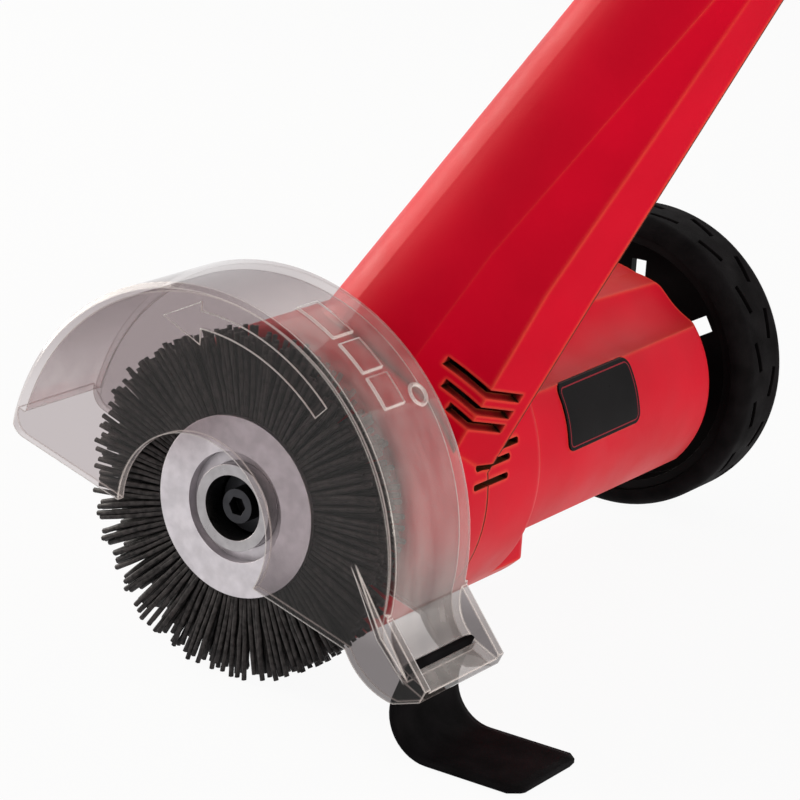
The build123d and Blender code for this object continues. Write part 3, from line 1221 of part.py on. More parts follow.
def aux_outer():
    """Outer face of the second handle's eyes, from the tube's middle plane."""
    return EAR_HALF + MOVE_GAP + AUX_EYE_W


def aux_bolt():
    """Bolt through the bracket and both eyes, with its head on the wheel side."""
    seat = aux_outer() + MOVE_GAP
    body = cross_rod(AUX_BOLT_R, -seat, seat, AUX_PIVOT, aux_s())
    return ARM * (body + cross_rod(2 * AUX_BOLT_R, -seat - AUX_BOLT_R, -seat, AUX_PIVOT, aux_s()))


def aux_handle():
    """Bent bar that loops over the tube between its two eyes."""
    eye_y = EAR_HALF + MOVE_GAP + AUX_EYE_W / 2
    low, top = AUX_PIVOT, AUX_PIVOT + AUX_REACH
    neck = AUX_PIVOT + AUX_SHOULDER
    bend = neck + AUX_SPREAD
    points = [
        (low, -eye_y), (neck, -eye_y), (bend, -AUX_HALF_WIDTH), (top, -AUX_HALF_WIDTH),
        (top, AUX_HALF_WIDTH), (bend, AUX_HALF_WIDTH), (neck, eye_y), (low, eye_y),
    ]
    path = Pos(0, 0, aux_s()) * FilletPolyline(*points, radius=AUX_BEND_R)
    bar = sweep(Plane(path @ 0, z_dir=path % 0) * Circle(AUX_BAR_R), path)
    ears = Box(2 * (low + EAR_R) + 2 * MOVE_GAP, 2 * (EAR_HALF + MOVE_GAP), 4 * EAR_R)
    body = bar - Pos(0, 0, aux_s()) * ears
    for middle in (-eye_y, eye_y):
        body += cross_rod(EAR_R, middle - AUX_EYE_W / 2, middle + AUX_EYE_W / 2, AUX_PIVOT, aux_s())
    outer = Pos(low, 0, aux_s()) * Box(4 * AUX_BAR_R, 4 * AUX_HALF_WIDTH, 4 * AUX_BAR_R)
    inner = Pos(low, 0, aux_s()) * Box(4 * AUX_BAR_R, 2 * aux_outer(), 4 * AUX_BAR_R)
    body -= (outer - inner) & cross_rod(KNOB_R + MOVE_GAP, -AUX_HALF_WIDTH, AUX_HALF_WIDTH, low, aux_s())
    return ARM * (body - cross_rod(AUX_BOLT_R + FIT_GAP, -aux_outer(), aux_outer(), AUX_PIVOT, aux_s()))


def aux_grip():
    """Soft sleeve on the second handle's top bar."""
    top = AUX_PIVOT + AUX_REACH
    half = AUX_GRIP_LENGTH / 2
    sleeve = cross_rod(AUX_BAR_R + AUX_GRIP_T, -half, half, top, aux_s())
    sleeve = fillet(sleeve.edges().filter_by(GeomType.CIRCLE), AUX_GRIP_T / 2)
    return ARM * (sleeve - cross_rod(AUX_BAR_R + FIT_GAP, -half, half, top, aux_s()))


def aux_knob():
    """Lobed clamping knob on the bolt's end."""
    start = aux_outer() + MOVE_GAP
    body = cross_rod(KNOB_R, start, start + KNOB_W, AUX_PIVOT, aux_s())
    dents = []
    for k in range(KNOB_LOBES):
        angle = 2 * pi * (k + 0.5) / KNOB_LOBES
        reach = KNOB_R + KNOB_LOBE_R / 2
        dents.append(cross_rod(
            KNOB_LOBE_R, start, start + KNOB_W, AUX_PIVOT + reach * cos(angle), aux_s() + reach * sin(angle)))
    return ARM * body.cut(*dents)


# Rear handle
def handle_point(offset):
    """An offset from the mouth of the socket, as (front, along) in the arm frame."""
    return offset[0], HANDLE_S + offset[1]


def grip_point(along, below):
    """A place along the grip line and below it, as (front, along) in the arm frame."""
    tilt = radians(GRIP_TILT)
    start = handle_point(GRIP_START)
    return (
        start[0] - along * sin(tilt) - below * cos(tilt),
        start[1] + along * cos(tilt) - below * sin(tilt),
    )


def handle_face(points, corner, skip=()):
    """A handle outline with rounded corners, apart from the ones skipped."""
    places = [handle_point(p) for p in points]
    face = make_face(Polyline(*places, close=True))
    rounded = [p for k, p in enumerate(places) if k not in skip]
    return fillet(corners_at(face, rounded), corner)


def across(face, half):
    """A face drawn in (front, along), pushed both ways across the tube."""
    return extrude(Plane.XZ * face, amount=half, both=True)


def handle_face_with_gap(grow):
    """The handle's side view, drawn in from its outside and from its finger gap by grow."""
    outline = handle_face(HANDLE_OUTLINE, HANDLE_CORNER_R, skip=(0, 1))
    gap = handle_face(FINGER_GAP, FINGER_CORNER_R)
    if grow:
        outline = offset(outline, -grow)
        gap = offset(gap, grow)
    return outline - gap


def cord_line():
    """Plane at the cord inlet's mouth on the rear end of the handle, facing out."""
    top, low = handle_point(HANDLE_OUTLINE[4]), handle_point(HANDLE_OUTLINE[5])
    middle = ((top[0] + low[0]) / 2, (top[1] + low[1]) / 2)
    out = (low[1] - top[1], top[0] - low[0])
    return Plane((middle[0], 0, middle[1]), x_dir=(0, 1, 0), z_dir=(-abs(out[0]), 0, abs(out[1])))


def button_place():
    """Centre of the lock-off button on the grip's brush side."""
    return grip_point(BUTTON_ALONG, -BUTTON_ABOVE)


def trigger_pin_place():
    """Pivot of the trigger, at its upper rear end."""
    return grip_point(TRIGGER_FROM + TRIGGER_LENGTH - 2 * TRIGGER_PIN_R, TRIGGER_TOP + 2 * TRIGGER_PIN_R)


def trigger_face():
    """Side view of the trigger, with a hollow for the finger."""
    start, end = TRIGGER_FROM, TRIGGER_FROM + TRIGGER_LENGTH
    top, low = TRIGGER_TOP, TRIGGER_DROP
    points = [
        grip_point(start, top), grip_point(end, top), grip_point(end, (top + low) / 2),
        grip_point((start + 2 * end) / 3, low - TRIGGER_CURL),
        grip_point(start + TRIGGER_NOSE, low), grip_point(start, low - TRIGGER_LIP),
    ]
    return make_face(Polyline(*points, close=True))


def handle_body():
    """Both handle shells, hollow, with socket, bosses and openings, before they are parted."""
    outer = across(handle_face_with_gap(0), HANDLE_HALF)
    long_edges = [e for e in outer.edges() if abs(abs(e.center().Y) - HANDLE_HALF) < 1e-3]
    outer = fillet(long_edges, HANDLE_EDGE_R)
    room = across(handle_face_with_gap(HANDLE_WALL), HANDLE_HALF - HANDLE_WALL)
    body = outer - room
    socket_r = UPPER_TUBE_R + SOCKET_WALL
    added = [tube_rod(socket_r, HANDLE_S, HANDLE_S + SOCKET_DEPTH + HANDLE_WALL)]
    inner_half = HANDLE_HALF - HANDLE_WALL / 2
    for place in HANDLE_SCREWS:
        added.append(cross_rod(BOSS_R, -inner_half, inner_half, *handle_point(place)))
    cord = cord_line()
    inside = CORD_BUSH_LENGTH - CORD_BUSH_PROUD
    added.append((cord * Pos(0, 0, -inside / 2) * Cylinder(CORD_BUSH_R + HANDLE_WALL, inside)) & outer)
    body = body.fuse(*[piece & outer for piece in added])
    cuts = [
        tube_rod(UPPER_TUBE_R + FIT_GAP, HANDLE_S, HANDLE_S + SOCKET_DEPTH),
        cord * Cylinder(CORD_BUSH_R + FIT_GAP, 2 * inside),
        across(trigger_slot_face(), TRIGGER_HALF + MOVE_GAP),
        cross_rod(BUTTON_R + SLIDE_GAP, BUTTON_INNER, HANDLE_HALF, *button_place()),
    ]
    for place in HANDLE_SCREWS:
        where = handle_point(place)
        cuts.append(cross_rod(CASE_SCREW_R + FIT_GAP, -HANDLE_HALF, HANDLE_HALF - 2 * HANDLE_WALL, *where))
        cuts.append(cross_rod(CASE_HEAD_R + SLIDE_GAP, -HANDLE_HALF, -HANDLE_HALF + HEAD_RECESS, *where))
    body = body.cut(*cuts)
    return body + cross_rod(TRIGGER_PIN_R, -inner_half, inner_half, *trigger_pin_place())


def trigger_slot_face():
    """Opening for the trigger in the underside of the grip."""
    start, end = TRIGGER_FROM - 2 * MOVE_GAP, TRIGGER_FROM + TRIGGER_LENGTH + 2 * MOVE_GAP
    low = TRIGGER_DROP + HANDLE_WALL
    corners = ((start, TRIGGER_TOP), (end, TRIGGER_TOP), (end, low), (start, low))
    return make_face(Polyline(*[grip_point(along, below) for along, below in corners], close=True))


def handle_half(side):
    """One handle shell: +1 is the brush side."""
    size = 2 * HANDLE_S
    cutter = Pos(0, side * size / 2, HANDLE_S) * Box(size, size, size)
    return ARM * (HANDLE_BODY & cutter)


def handle_screws():
    """Screws of the rear handle, from the wheel side."""
    screws = []
    for place in HANDLE_SCREWS:
        front, along = handle_point(place)
        spot = ARM * Pos(front, 0, along)
        screws.append(pan_screw(
            TUBE_Y - HANDLE_HALF + HEAD_RECESS, TUBE_Y + HANDLE_HALF - 2 * HANDLE_WALL - GEAR_GAP,
            spot.position.X, spot.position.Z, -1))
    return Compound(children=screws)


def trigger():
    """Finger trigger, hung on a cross pin at its rear end."""
    body = across(trigger_face(), TRIGGER_HALF)
    edges = [e for e in body.edges() if abs(abs(e.center().Y) - TRIGGER_HALF) < 1e-3]
    body = fillet(edges, EDGE_ROUND)
    pin = trigger_pin_place()
    return ARM * (body - cross_rod(TRIGGER_PIN_R + FIT_GAP, -TRIGGER_HALF, TRIGGER_HALF, *pin))


def switch_body():
    """Switch above the trigger, held between the handle shells."""
    front, along = grip_point(TRIGGER_FROM + SWITCH_LENGTH / 2, SWITCH_BELOW - SWITCH_HEIGHT / 2)
    body = Box(SWITCH_HEIGHT, 2 * (HANDLE_HALF - HANDLE_WALL - FIT_GAP), SWITCH_LENGTH)
    placed = Pos(front, 0, along) * Rot(0, -GRIP_TILT, 0) * body
    floor = BUTTON_INNER - BUTTON_TRAVEL - MOVE_GAP
    return ARM * (placed - cross_rod(BUTTON_R + SLIDE_GAP, floor, HANDLE_HALF, *button_place()))


def lock_button():
    """Round lock-off button that is pushed in from the brush side."""
    place = button_place()
    body = cross_rod(BUTTON_R, BUTTON_INNER, HANDLE_HALF + BUTTON_PROUD, *place)
    rim = [e for e in body.edges().filter_by(GeomType.CIRCLE) if e.center().Y > HANDLE_HALF]
    return ARM * fillet(rim, EDGE_ROUND)


def cord_bush():
    """Inlet for the mains cord in the handle's rear end."""
    cord = cord_line()
    inside = CORD_BUSH_LENGTH - CORD_BUSH_PROUD
    body = Pos(0, 0, (CORD_BUSH_PROUD - inside) / 2) * Cylinder(CORD_BUSH_R, CORD_BUSH_LENGTH)
    body += Pos(0, 0, GLAND_FLANGE_T / 2) * Cylinder(GLAND_FLANGE_R, GLAND_FLANGE_T)
    return ARM * (cord * (body - Cylinder(CORD_BORE_R, 4 * CORD_BUSH_LENGTH)))


HOUSING = housing()
HANDLE_BODY = handle_body()

PARTS = {
    "left_housing_shell": HOUSING & half_space(1),
    "right_housing_shell": HOUSING & half_space(-1),
    "housing_screws": housing_screws(),
    "rating_label": rating_label(),
    "gear_plate": gear_plate(),
    "spindle_bearings": Compound(children=[
        bearing(FRONT_BEARING_R, SPINDLE_R + FIT_GAP, FRONT_BEARING_W, BEARING_SHOULDER_Y),
        bearing(REAR_BEARING_R, SPINDLE_REAR_R + FIT_GAP, REAR_BEARING_W, GEAR_PLATE_FRONT_Y),
    ]),
    "layshaft_bushes": Compound(children=[bush(FRONT_BEARING_REAR_Y + BUSH_W), bush(BRACKET_FRONT_Y)]),
    "motor_bracket": motor_bracket(),
    "motor_bearings": Compound(children=[
        bearing(REAR_BEARING_R, SHAFT_R + FIT_GAP, REAR_BEARING_W, BRACKET_FRONT_Y),
        bearing(REAR_BEARING_R, SHAFT_R + FIT_GAP, REAR_BEARING_W, CUP_FRONT_Y),
    ]),
    "stator_core": stator_core(),
    "field_coils": field_coils(),
    "carbon_ring": carbon_ring(),
    "brush_holders": brush_holders(),
    "carbon_brushes": carbon_brushes(),
    "brush_guard": brush_guard(),
    "guard_screws": guard_screws(),
    "splash_flap": splash_flap(),
    "wheel_axle": wheel_axle(),
    "axle_washer": axle_washer(),
    "axle_screw": axle_screw(),
    "lower_tube": lower_tube(),
    "tube_clamp": tube_clamp(),
    "clamp_pin": clamp_pin(),
    "output_spindle": output_spindle(),
    "output_gear": output_gear(),
    "brush_hub": brush_hub(),
    "brush_front_plate": brush_front_plate(),
    "brush_rear_plate": brush_rear_plate(),
    "brush_bristles": brush_bristles(),
    "brush_screw": brush_screw(),
    "brush_washer": brush_washer(),
    "layshaft": layshaft(),
    "layshaft_gear": layshaft_gear(),
    "armature_shaft": armature_shaft(),
    "armature_core": armature_core(),
    "armature_winding": armature_winding(),
    "commutator": commutator(),
    "motor_pinion": motor_pinion(),
    "cooling_fan": cooling_fan(),
    "wheel_rim": wheel_rim(),
    "wheel_tyre": wheel_tyre(),
    "wheel_bush": wheel_bush(),
    "wheel_cap": wheel_cap(),
    "upper_tube": upper_tube(),
    "left_handle_shell": handle_half(1),
    "right_handle_shell": handle_half(-1),
    "handle_screws": handle_screws(),
    "switch_body": switch_body(),
    "cord_bush": cord_bush(),
    "aux_bracket": aux_bracket(),
    "aux_bolt": aux_bolt(),
    "aux_handle": aux_handle(),
    "aux_grip": aux_grip(),
    "aux_knob": aux_knob(),
    "trigger": trigger(),
    "lock_button": lock_button(),
    "clamp_lever": clamp_lever(),
}

BOX = Compound(children=[Compound(part.solids()) for part in PARTS.values()]).bounding_box()
SHIFT = Vector(-BOX.center().X, -BOX.center().Y, -BOX.min.Z)

os.makedirs("parts", exist_ok=True)
for name, part in PARTS.items():
    solids = [solid.moved(Location(SHIFT)) for solid in part.solids()]
    export_step(solids[0] if len(solids) == 1 else Compound(children=solids), f"parts/{name}.step")
print("shift", SHIFT, "size", BOX.size)
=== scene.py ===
import json
import math
import random

import bpy
from mathutils import Matrix, Vector


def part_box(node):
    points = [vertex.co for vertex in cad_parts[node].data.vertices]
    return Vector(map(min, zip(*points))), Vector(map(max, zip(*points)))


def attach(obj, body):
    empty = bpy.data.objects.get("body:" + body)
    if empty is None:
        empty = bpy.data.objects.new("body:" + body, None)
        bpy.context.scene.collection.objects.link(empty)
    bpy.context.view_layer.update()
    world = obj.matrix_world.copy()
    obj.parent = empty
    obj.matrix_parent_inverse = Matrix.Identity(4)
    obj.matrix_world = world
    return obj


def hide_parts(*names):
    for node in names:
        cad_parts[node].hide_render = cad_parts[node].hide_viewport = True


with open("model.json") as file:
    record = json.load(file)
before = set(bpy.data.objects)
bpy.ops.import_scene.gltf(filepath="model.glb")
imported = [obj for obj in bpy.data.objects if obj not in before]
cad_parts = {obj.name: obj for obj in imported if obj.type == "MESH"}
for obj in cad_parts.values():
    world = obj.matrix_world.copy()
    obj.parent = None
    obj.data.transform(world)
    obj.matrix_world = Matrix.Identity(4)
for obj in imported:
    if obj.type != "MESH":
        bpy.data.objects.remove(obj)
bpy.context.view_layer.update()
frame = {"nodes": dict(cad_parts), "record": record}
NODES = frame["nodes"]

# Places in the row frame, in metres
PLATE_LOW, PLATE_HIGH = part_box("brush_front_plate")
AXLE = (PLATE_LOW + PLATE_HIGH) / 2     # middle of the front plate's front face
AXLE.y = PLATE_HIGH.y
PARTING_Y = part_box("left_housing_shell")[0].y
LABEL_LOW, LABEL_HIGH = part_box("rating_label")
FLAP_LOW, FLAP_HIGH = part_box("splash_flap")
SLEEVE_LOW, SLEEVE_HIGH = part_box("aux_grip")
SLEEVE_MIDDLE = (SLEEVE_LOW + SLEEVE_HIGH) / 2

LABEL_CORNER = 0.003            # radius of the label's corners
LABEL_LINE_INSET = 0.0012       # red line inside the label's edge
LABEL_LINE = 0.00035            # its width

# Camera, fitted to the photograph
CAMERA_PLACE = AXLE + Vector((-0.4863, 0.6653, 0.2844))
CAMERA_RIGHT = Vector((-0.8253, -0.5612, 0.0635))
CAMERA_UP = Vector((0.2141, -0.2068, 0.9547))
CAMERA_CLIP = (0.01, 50.0)
FRAME_PIXELS = 800
FOCAL_PIXELS = 3130
SENSOR = 36.0                   # millimetres, as the lens
LENS = SENSOR * FOCAL_PIXELS / FRAME_PIXELS

# Colours, linear
RED = (0.60, 0.0016, 0.022)
DEEP_RED = (0.54, 0.0012, 0.019)
# painted highlight: pale orange laid along the red shell's edges
EDGE_HIGHLIGHT_RED = (0.82, 0.12, 0.06)
SEAM_RED = (0.12, 0.003, 0.004)
LABEL_RED = (0.24, 0.020, 0.032)
BLACK = (0.0050, 0.0045, 0.0050)
STRAND_GREY = (0.020, 0.018, 0.019)
STRAND_DARK = (0.014, 0.0128, 0.0134)
STRAND_PALE = (0.052, 0.047, 0.049)
WHITE = (1, 1, 1, 1)

# Clear guard: what it shows at a slant, where 0 is face-on and 1 edge-on
GUARD_SLANTS = (0.28, 0.42, 0.54, 0.68)
GUARD_VEIL = (0.012, 0.22, 0.22, 0.05)      # share of pale haze at these slants
GUARD_SMOKE = (0.75, 0.715, 0.72)
GUARD_THIN = (0.93, 0.91, 0.91)
GUARD_RIM = (0.52, 0.48, 0.49)
GUARD_TINTS = (GUARD_SMOKE, GUARD_THIN, GUARD_THIN, GUARD_SMOKE, GUARD_RIM)     # the last one edge-on
GUARD_PALE = (0.86, 0.79, 0.79)             # colour of the haze and of the painted edge highlights
GUARD_LAMP_TINT = (0.92, 0.90, 0.90)        # of the lamps' light behind it
GUARD_EDGE_HIGHLIGHT_BEND = (0.992, 0.90)             # cosines at which the painted edge highlight starts and is full
# share of painted highlight at the sharpest edges
GUARD_EDGE_HIGHLIGHT_SHARE = 0.75
GUARD_FOOT = (0.030, 0.052)                 # heights between which the guard's tint darkens towards the bottom
GUARD_FOOT_SHADE = 0.60
GUARD_IOR = 1.3
GUARD_GLOSS_ROUGHNESS = 0.06


class Look:
    """A material whose colour, roughness and relief come from noise in the object's own coordinates, and
    which can paint shade into hollows and highlights along edges.
    """

    MIX_LOW, MIX_HIGH, MIX_RESULT = 6, 7, 2     # colour sockets of the Mix node
    COLOUR_SPREAD = (0.35, 0.65)                # noise values between which a colour drifts
    ROUGHNESS_SPREAD = (0.3, 0.7)
    BEVEL_SAMPLES = 6
    HOLLOW_SAMPLES = 8
    # painted shade: near-black laid into hollows, slots and gaps
    PAINTED_SHADE_BLACK = (0.001, 0.001, 0.001, 1.0)
    EDGE_BEND = (0.998, 0.94)                   # cosines at which the painted edge highlight starts and is full
    # share of painted highlight at the sharpest edges
    EDGE_HIGHLIGHT_SHARE = 0.45
    SEAM_CORE = 0.4                             # share of a seam that is fully dark

    def __init__(self, name, colour, roughness, metallic=0.0, sockets=()):
        self.material = bpy.data.materials.new(name)
        self.material.use_nodes = True
        self.tree = self.material.node_tree
        self.shader = self.tree.nodes["Principled BSDF"]
        self.put(self.shader, "Base Color", (*colour, 1.0))
        self.put(self.shader, "Roughness", roughness)
        self.put(self.shader, "Metallic", metallic)
        for key, value in sockets:
            self.put(self.shader, key, value)
        self.place = self.node("ShaderNodeTexCoord").outputs["Object"]
        self.normal = None

    def put(self, node, socket, value):
        node.inputs[socket].default_value = value

    def drive(self, socket, value):
        """Leads a value to a socket of the shader."""
        self.tree.links.new(value, self.shader.inputs[socket])

    def node(self, kind, inputs=(), **settings):
        """A node whose inputs are constants or links."""
        made = self.tree.nodes.new(kind)
        for key, value in settings.items():
            setattr(made, key, value)
        for key, value in inputs:
            if isinstance(value, bpy.types.NodeSocket):
                self.tree.links.new(value, made.inputs[key])
            else:
                self.put(made, key, value)
        return made

    def work_out(self, operation, *values):
        """Result of one Math node."""
        return self.node("ShaderNodeMath", enumerate(values), operation=operation).outputs[0]

    def spread(self, value, start, end, low=0.0, high=1.0, **settings):
        """Goes from low to high while the value goes from start to end."""
        made = self.node(
            "ShaderNodeMapRange",
            [("Value", value), ("From Min", start), ("From Max", end), ("To Min", low), ("To Max", high)],
            **settings,
        )
        return made.outputs["Result"]

    def blend(self, share, low, high):
        """Colour that goes from low to high while the share goes from 0 to 1."""
        made = self.node(
            "ShaderNodeMix",
            [("Factor", share), (self.MIX_LOW, low), (self.MIX_HIGH, high)],
            data_type="RGBA",
        )
        return made.outputs[self.MIX_RESULT]

    def mix_shaders(self, share, first, second):
        """Shader that goes from the first to the second while the share goes from 0 to 1."""
        return self.node("ShaderNodeMixShader", [(0, share), (1, first), (2, second)]).outputs[0]

    def along(self, axis):
        """Place along one axis of the object."""
        return self.node("ShaderNodeSeparateXYZ", [("Vector", self.place)]).outputs[axis]

    def noise(self, size, detail=4.0, stretch=(1, 1, 1)):
        """Noise whose features are about size metres wide, stretched along the axes."""
        scale = [1 / (size * s) for s in stretch]
        scaled = self.node("ShaderNodeMapping", [("Vector", self.place), ("Scale", scale)])
        made = self.node(
            "ShaderNodeTexNoise",
            [("Vector", scaled.outputs["Vector"]), ("Scale", 1.0), ("Detail", detail)],
        )
        return made.outputs["Fac"]

    def ramp(self, value, stops):
        """Colours along a value."""
        made = self.node("ShaderNodeValToRGB", [("Fac", value)])
        band = made.color_ramp
        while len(band.elements) < len(stops):
            band.elements.new(0.5)
        for element, (place, colour) in zip(band.elements, stops):
            element.position = place
            element.color = (*colour, 1.0)
        return made.outputs["Color"]

    def mottle(self, size, low, high, detail=4.0, stretch=(1, 1, 1)):
        """Colour that drifts between two tones."""
        stops = list(zip(self.COLOUR_SPREAD, (low, high)))
        colour = self.ramp(self.noise(size, detail, stretch), stops)
        self.drive("Base Color", colour)
        return colour

    def uneven(self, size, low, high, stretch=(1, 1, 1)):
        """Roughness that drifts between two values."""
        drift = self.noise(size, detail=3.0, stretch=stretch)
        self.drive("Roughness", self.spread(drift, *self.ROUGHNESS_SPREAD, low, high))

    def relief(self, height, depth):
        """Bump from a height between 0 and 1, depth metres deep."""
        made = self.node("ShaderNodeBump", [("Height", height), ("Distance", depth)])
        if self.normal is not None:
            self.tree.links.new(self.normal, made.inputs["Normal"])
        self.normal = made.outputs["Normal"]
        self.drive("Normal", self.normal)

    def grain(self, size, depth, stretch=(1, 1, 1), detail=3.0):
        """Fine moulded or worn relief."""
        self.relief(self.noise(size, detail, stretch), depth)

    def rounded(self, radius):
        """Normal that turns softly over sharp edges."""
        made = self.node("ShaderNodeBevel", [("Radius", radius)], samples=self.BEVEL_SAMPLES)
        return made.outputs["Normal"]

    def bend(self, rounded):
        """Cosine between a rounded normal and the surface's own, which is below 1 at an edge."""
        own = self.node("ShaderNodeNewGeometry").outputs["Normal"]
        made = self.node("ShaderNodeVectorMath", [(0, rounded), (1, own)], operation="DOT_PRODUCT")
        return made.outputs["Value"]

    def soft_edges(self, radius):
        """Rounds the shading of sharp edges."""
        self.normal = self.rounded(radius)
        self.drive("Normal", self.normal)

    def painted_edge_highlights(self, colour, radius, pale):
        """Paints a highlight along edges by lightening the colour there, and returns the result."""
        highlight = self.spread(self.bend(self.rounded(radius)), *self.EDGE_BEND, high=self.EDGE_HIGHLIGHT_SHARE)
        return self.blend(highlight, colour, (*pale, 1.0))

    def painted_hollow_shade(self, colour, reach, low, high):
        """Paints shade where the piece closes itself in by darkening the colour there, and returns the
        result.
        """
        made = self.node(
            "ShaderNodeAmbientOcclusion",
            [("Distance", reach)],
            samples=self.HOLLOW_SAMPLES,
            only_local=True,
        )
        clear = self.spread(made.outputs["AO"], low, high)
        colour = self.blend(clear, self.PAINTED_SHADE_BLACK, colour)
        self.drive("Base Color", colour)
        return colour

    def seam(self, y, half, colour, dark):
        """A thin dark groove round the surface at one plane across Y."""
        off = self.work_out("ABSOLUTE", self.work_out("SUBTRACT", self.along("Y"), y))
        clear = self.spread(off, half * self.SEAM_CORE, half, interpolation_type="SMOOTHSTEP")
        self.drive("Base Color", self.blend(clear, (*dark, 1.0), colour))
        self.relief(clear, half)


def shade(tone, share):
    """A darker or lighter tone of a colour."""
    return [share * t for t in tone]


def red_plastic():
    """Red shell: deeper and paler patches, painted highlights along its edges, painted shade in its hollows
    and the parting line.
    """
    look = Look(
        "red_plastic", RED, 0.36,
        sockets=[
            ("Specular IOR Level", 0.10), ("Specular Tint", (1.0, 0.45, 0.25, 1.0)), ("Sheen Weight", 0.14),
            ("Sheen Roughness", 0.42), ("Sheen Tint", (1.0, 0.36, 0.10, 1.0)),
        ],
    )
    look.soft_edges(radius=0.0008)
    colour = look.mottle(size=0.03, low=DEEP_RED, high=RED, detail=2.0)
    # painted highlight along the edges, then painted shade in slots, creases and hollows
    colour = look.painted_edge_highlights(colour, radius=0.0020, pale=EDGE_HIGHLIGHT_RED)
    colour = look.painted_hollow_shade(colour, reach=0.005, low=0.52, high=0.82)
    look.uneven(size=0.012, low=0.34, high=0.44)
    look.grain(size=0.0006, depth=0.00003)
    look.seam(PARTING_Y, half=0.0004, colour=colour, dark=SEAM_RED)
    return look.material


def black_plastic(name="black_plastic", tone=BLACK, rough=(0.38, 0.52)):
    """Moulded plastic with a fine grain."""
    look = Look(name, tone, rough[0], sockets=[("Specular IOR Level", 0.05)])
    look.soft_edges(radius=0.0006)
    look.mottle(size=0.02, low=shade(tone, 0.8), high=shade(tone, 1.3), detail=3.0)
    look.uneven(size=0.008, low=rough[0], high=rough[1])
    look.grain(size=0.0004, depth=0.00005)
    return look.material


def label_plate():
    """Bare black plate with a thin red line inside its edge."""
    look = Look("label", BLACK, 0.3, sockets=[("Specular IOR Level", 0.03)])
    look.soft_edges(radius=0.0004)
    colour = look.mottle(size=0.02, low=shade(BLACK, 0.8), high=shade(BLACK, 1.3), detail=3.0)
    look.uneven(size=0.008, low=0.26, high=0.36)
    look.grain(size=0.0004, depth=0.00002)
    past = look.node("ShaderNodeCombineXYZ")
    for axis, name in ((1, "Y"), (2, "Z")):
        middle = (LABEL_LOW[axis] + LABEL_HIGH[axis]) / 2
        straight = (LABEL_HIGH[axis] - LABEL_LOW[axis]) / 2 - LABEL_CORNER
        off = look.work_out("ABSOLUTE", look.work_out("SUBTRACT", look.along(name), middle))
        over = look.work_out("MAXIMUM", look.work_out("SUBTRACT", off, straight), 0.0)
        look.tree.links.new(over, past.inputs[name])
    radius = look.node("ShaderNodeVectorMath", [(0, past.outputs[0])], operation="LENGTH").outputs["Value"]
    line = look.work_out("COMPARE", radius, LABEL_CORNER - LABEL_LINE_INSET, LABEL_LINE / 2)
    look.drive("Base Color", look.blend(line, colour, (*LABEL_RED, 1.0)))
    return look.material


def rubber(name, tone):
    """Dull rubber, slightly rough to the touch."""
    look = Look(name, tone, 0.7, sockets=[("Specular IOR Level", 0.03)])
    look.soft_edges(radius=0.0005)
    look.mottle(size=0.006, low=shade(tone, 0.7), high=shade(tone, 1.6))
    look.uneven(size=0.01, low=0.6, high=0.8)
    look.grain(size=0.0005, depth=0.00008)
    return look.material


def clear_plastic():
    """Smoked clear plastic: tinted where it is looked through and darker towards the bottom, glossy at a
    slant, with pale painted highlights along its edges.
    """
    look = Look("clear_plastic", GUARD_PALE, 0.3)
    look.soft_edges(radius=0.0009)
    # painted highlight: pale haze colour laid along the guard's edges
    edge = look.spread(look.bend(look.normal), *GUARD_EDGE_HIGHLIGHT_BEND, high=GUARD_EDGE_HIGHLIGHT_SHARE)
    slant = look.node("ShaderNodeLayerWeight", [("Blend", 0.5)]).outputs["Facing"]
    backface = look.node("ShaderNodeNewGeometry").outputs["Backfacing"]
    outside = look.work_out("SUBTRACT", 1.0, backface)
    veil = look.ramp(slant, [(place, [share] * 3) for place, share in zip(GUARD_SLANTS, GUARD_VEIL)])
    streaks = look.noise(size=0.006, detail=5.0, stretch=(1, 1, 4))
    wisps = look.spread(streaks, 0.35, 0.7, low=0.6, high=1.1)
    haze = look.work_out("MULTIPLY", look.work_out("MULTIPLY", veil, wisps), outside)
    # share of pale: painted edge highlights plus haze
    pale = look.work_out("ADD", edge, haze)
    look.grain(size=0.02, depth=0.00006, detail=1.0)
    tint = look.ramp(slant, list(zip((*GUARD_SLANTS, 1.0), GUARD_TINTS)))
    bottom_darkening = look.spread(look.along("Z"), *GUARD_FOOT, low=GUARD_FOOT_SHADE)
    shaded = look.node("ShaderNodeVectorMath", [(0, tint), ("Scale", bottom_darkening)], operation="SCALE")
    seen = look.node("ShaderNodeBsdfTransparent", [("Color", shaded.outputs["Vector"])]).outputs[0]
    lit = look.node("ShaderNodeBsdfTransparent", [("Color", (*GUARD_LAMP_TINT, 1.0))]).outputs[0]
    from_lamp = look.node("ShaderNodeLightPath").outputs["Is Shadow Ray"]
    body = look.mix_shaders(pale, look.mix_shaders(from_lamp, seen, lit), look.shader.outputs[0])
    mirror = look.node(
        "ShaderNodeBsdfAnisotropic",
        [("Color", WHITE), ("Roughness", GUARD_GLOSS_ROUGHNESS), ("Normal", look.normal)],
    ).outputs[0]
    gloss = look.node("ShaderNodeFresnel", [("IOR", GUARD_IOR), ("Normal", look.normal)]).outputs[0]
    whole = look.mix_shaders(look.work_out("MULTIPLY", gloss, outside), body, mirror)
    look.tree.links.new(whole, look.tree.nodes["Material Output"].inputs["Surface"])
    return look.material


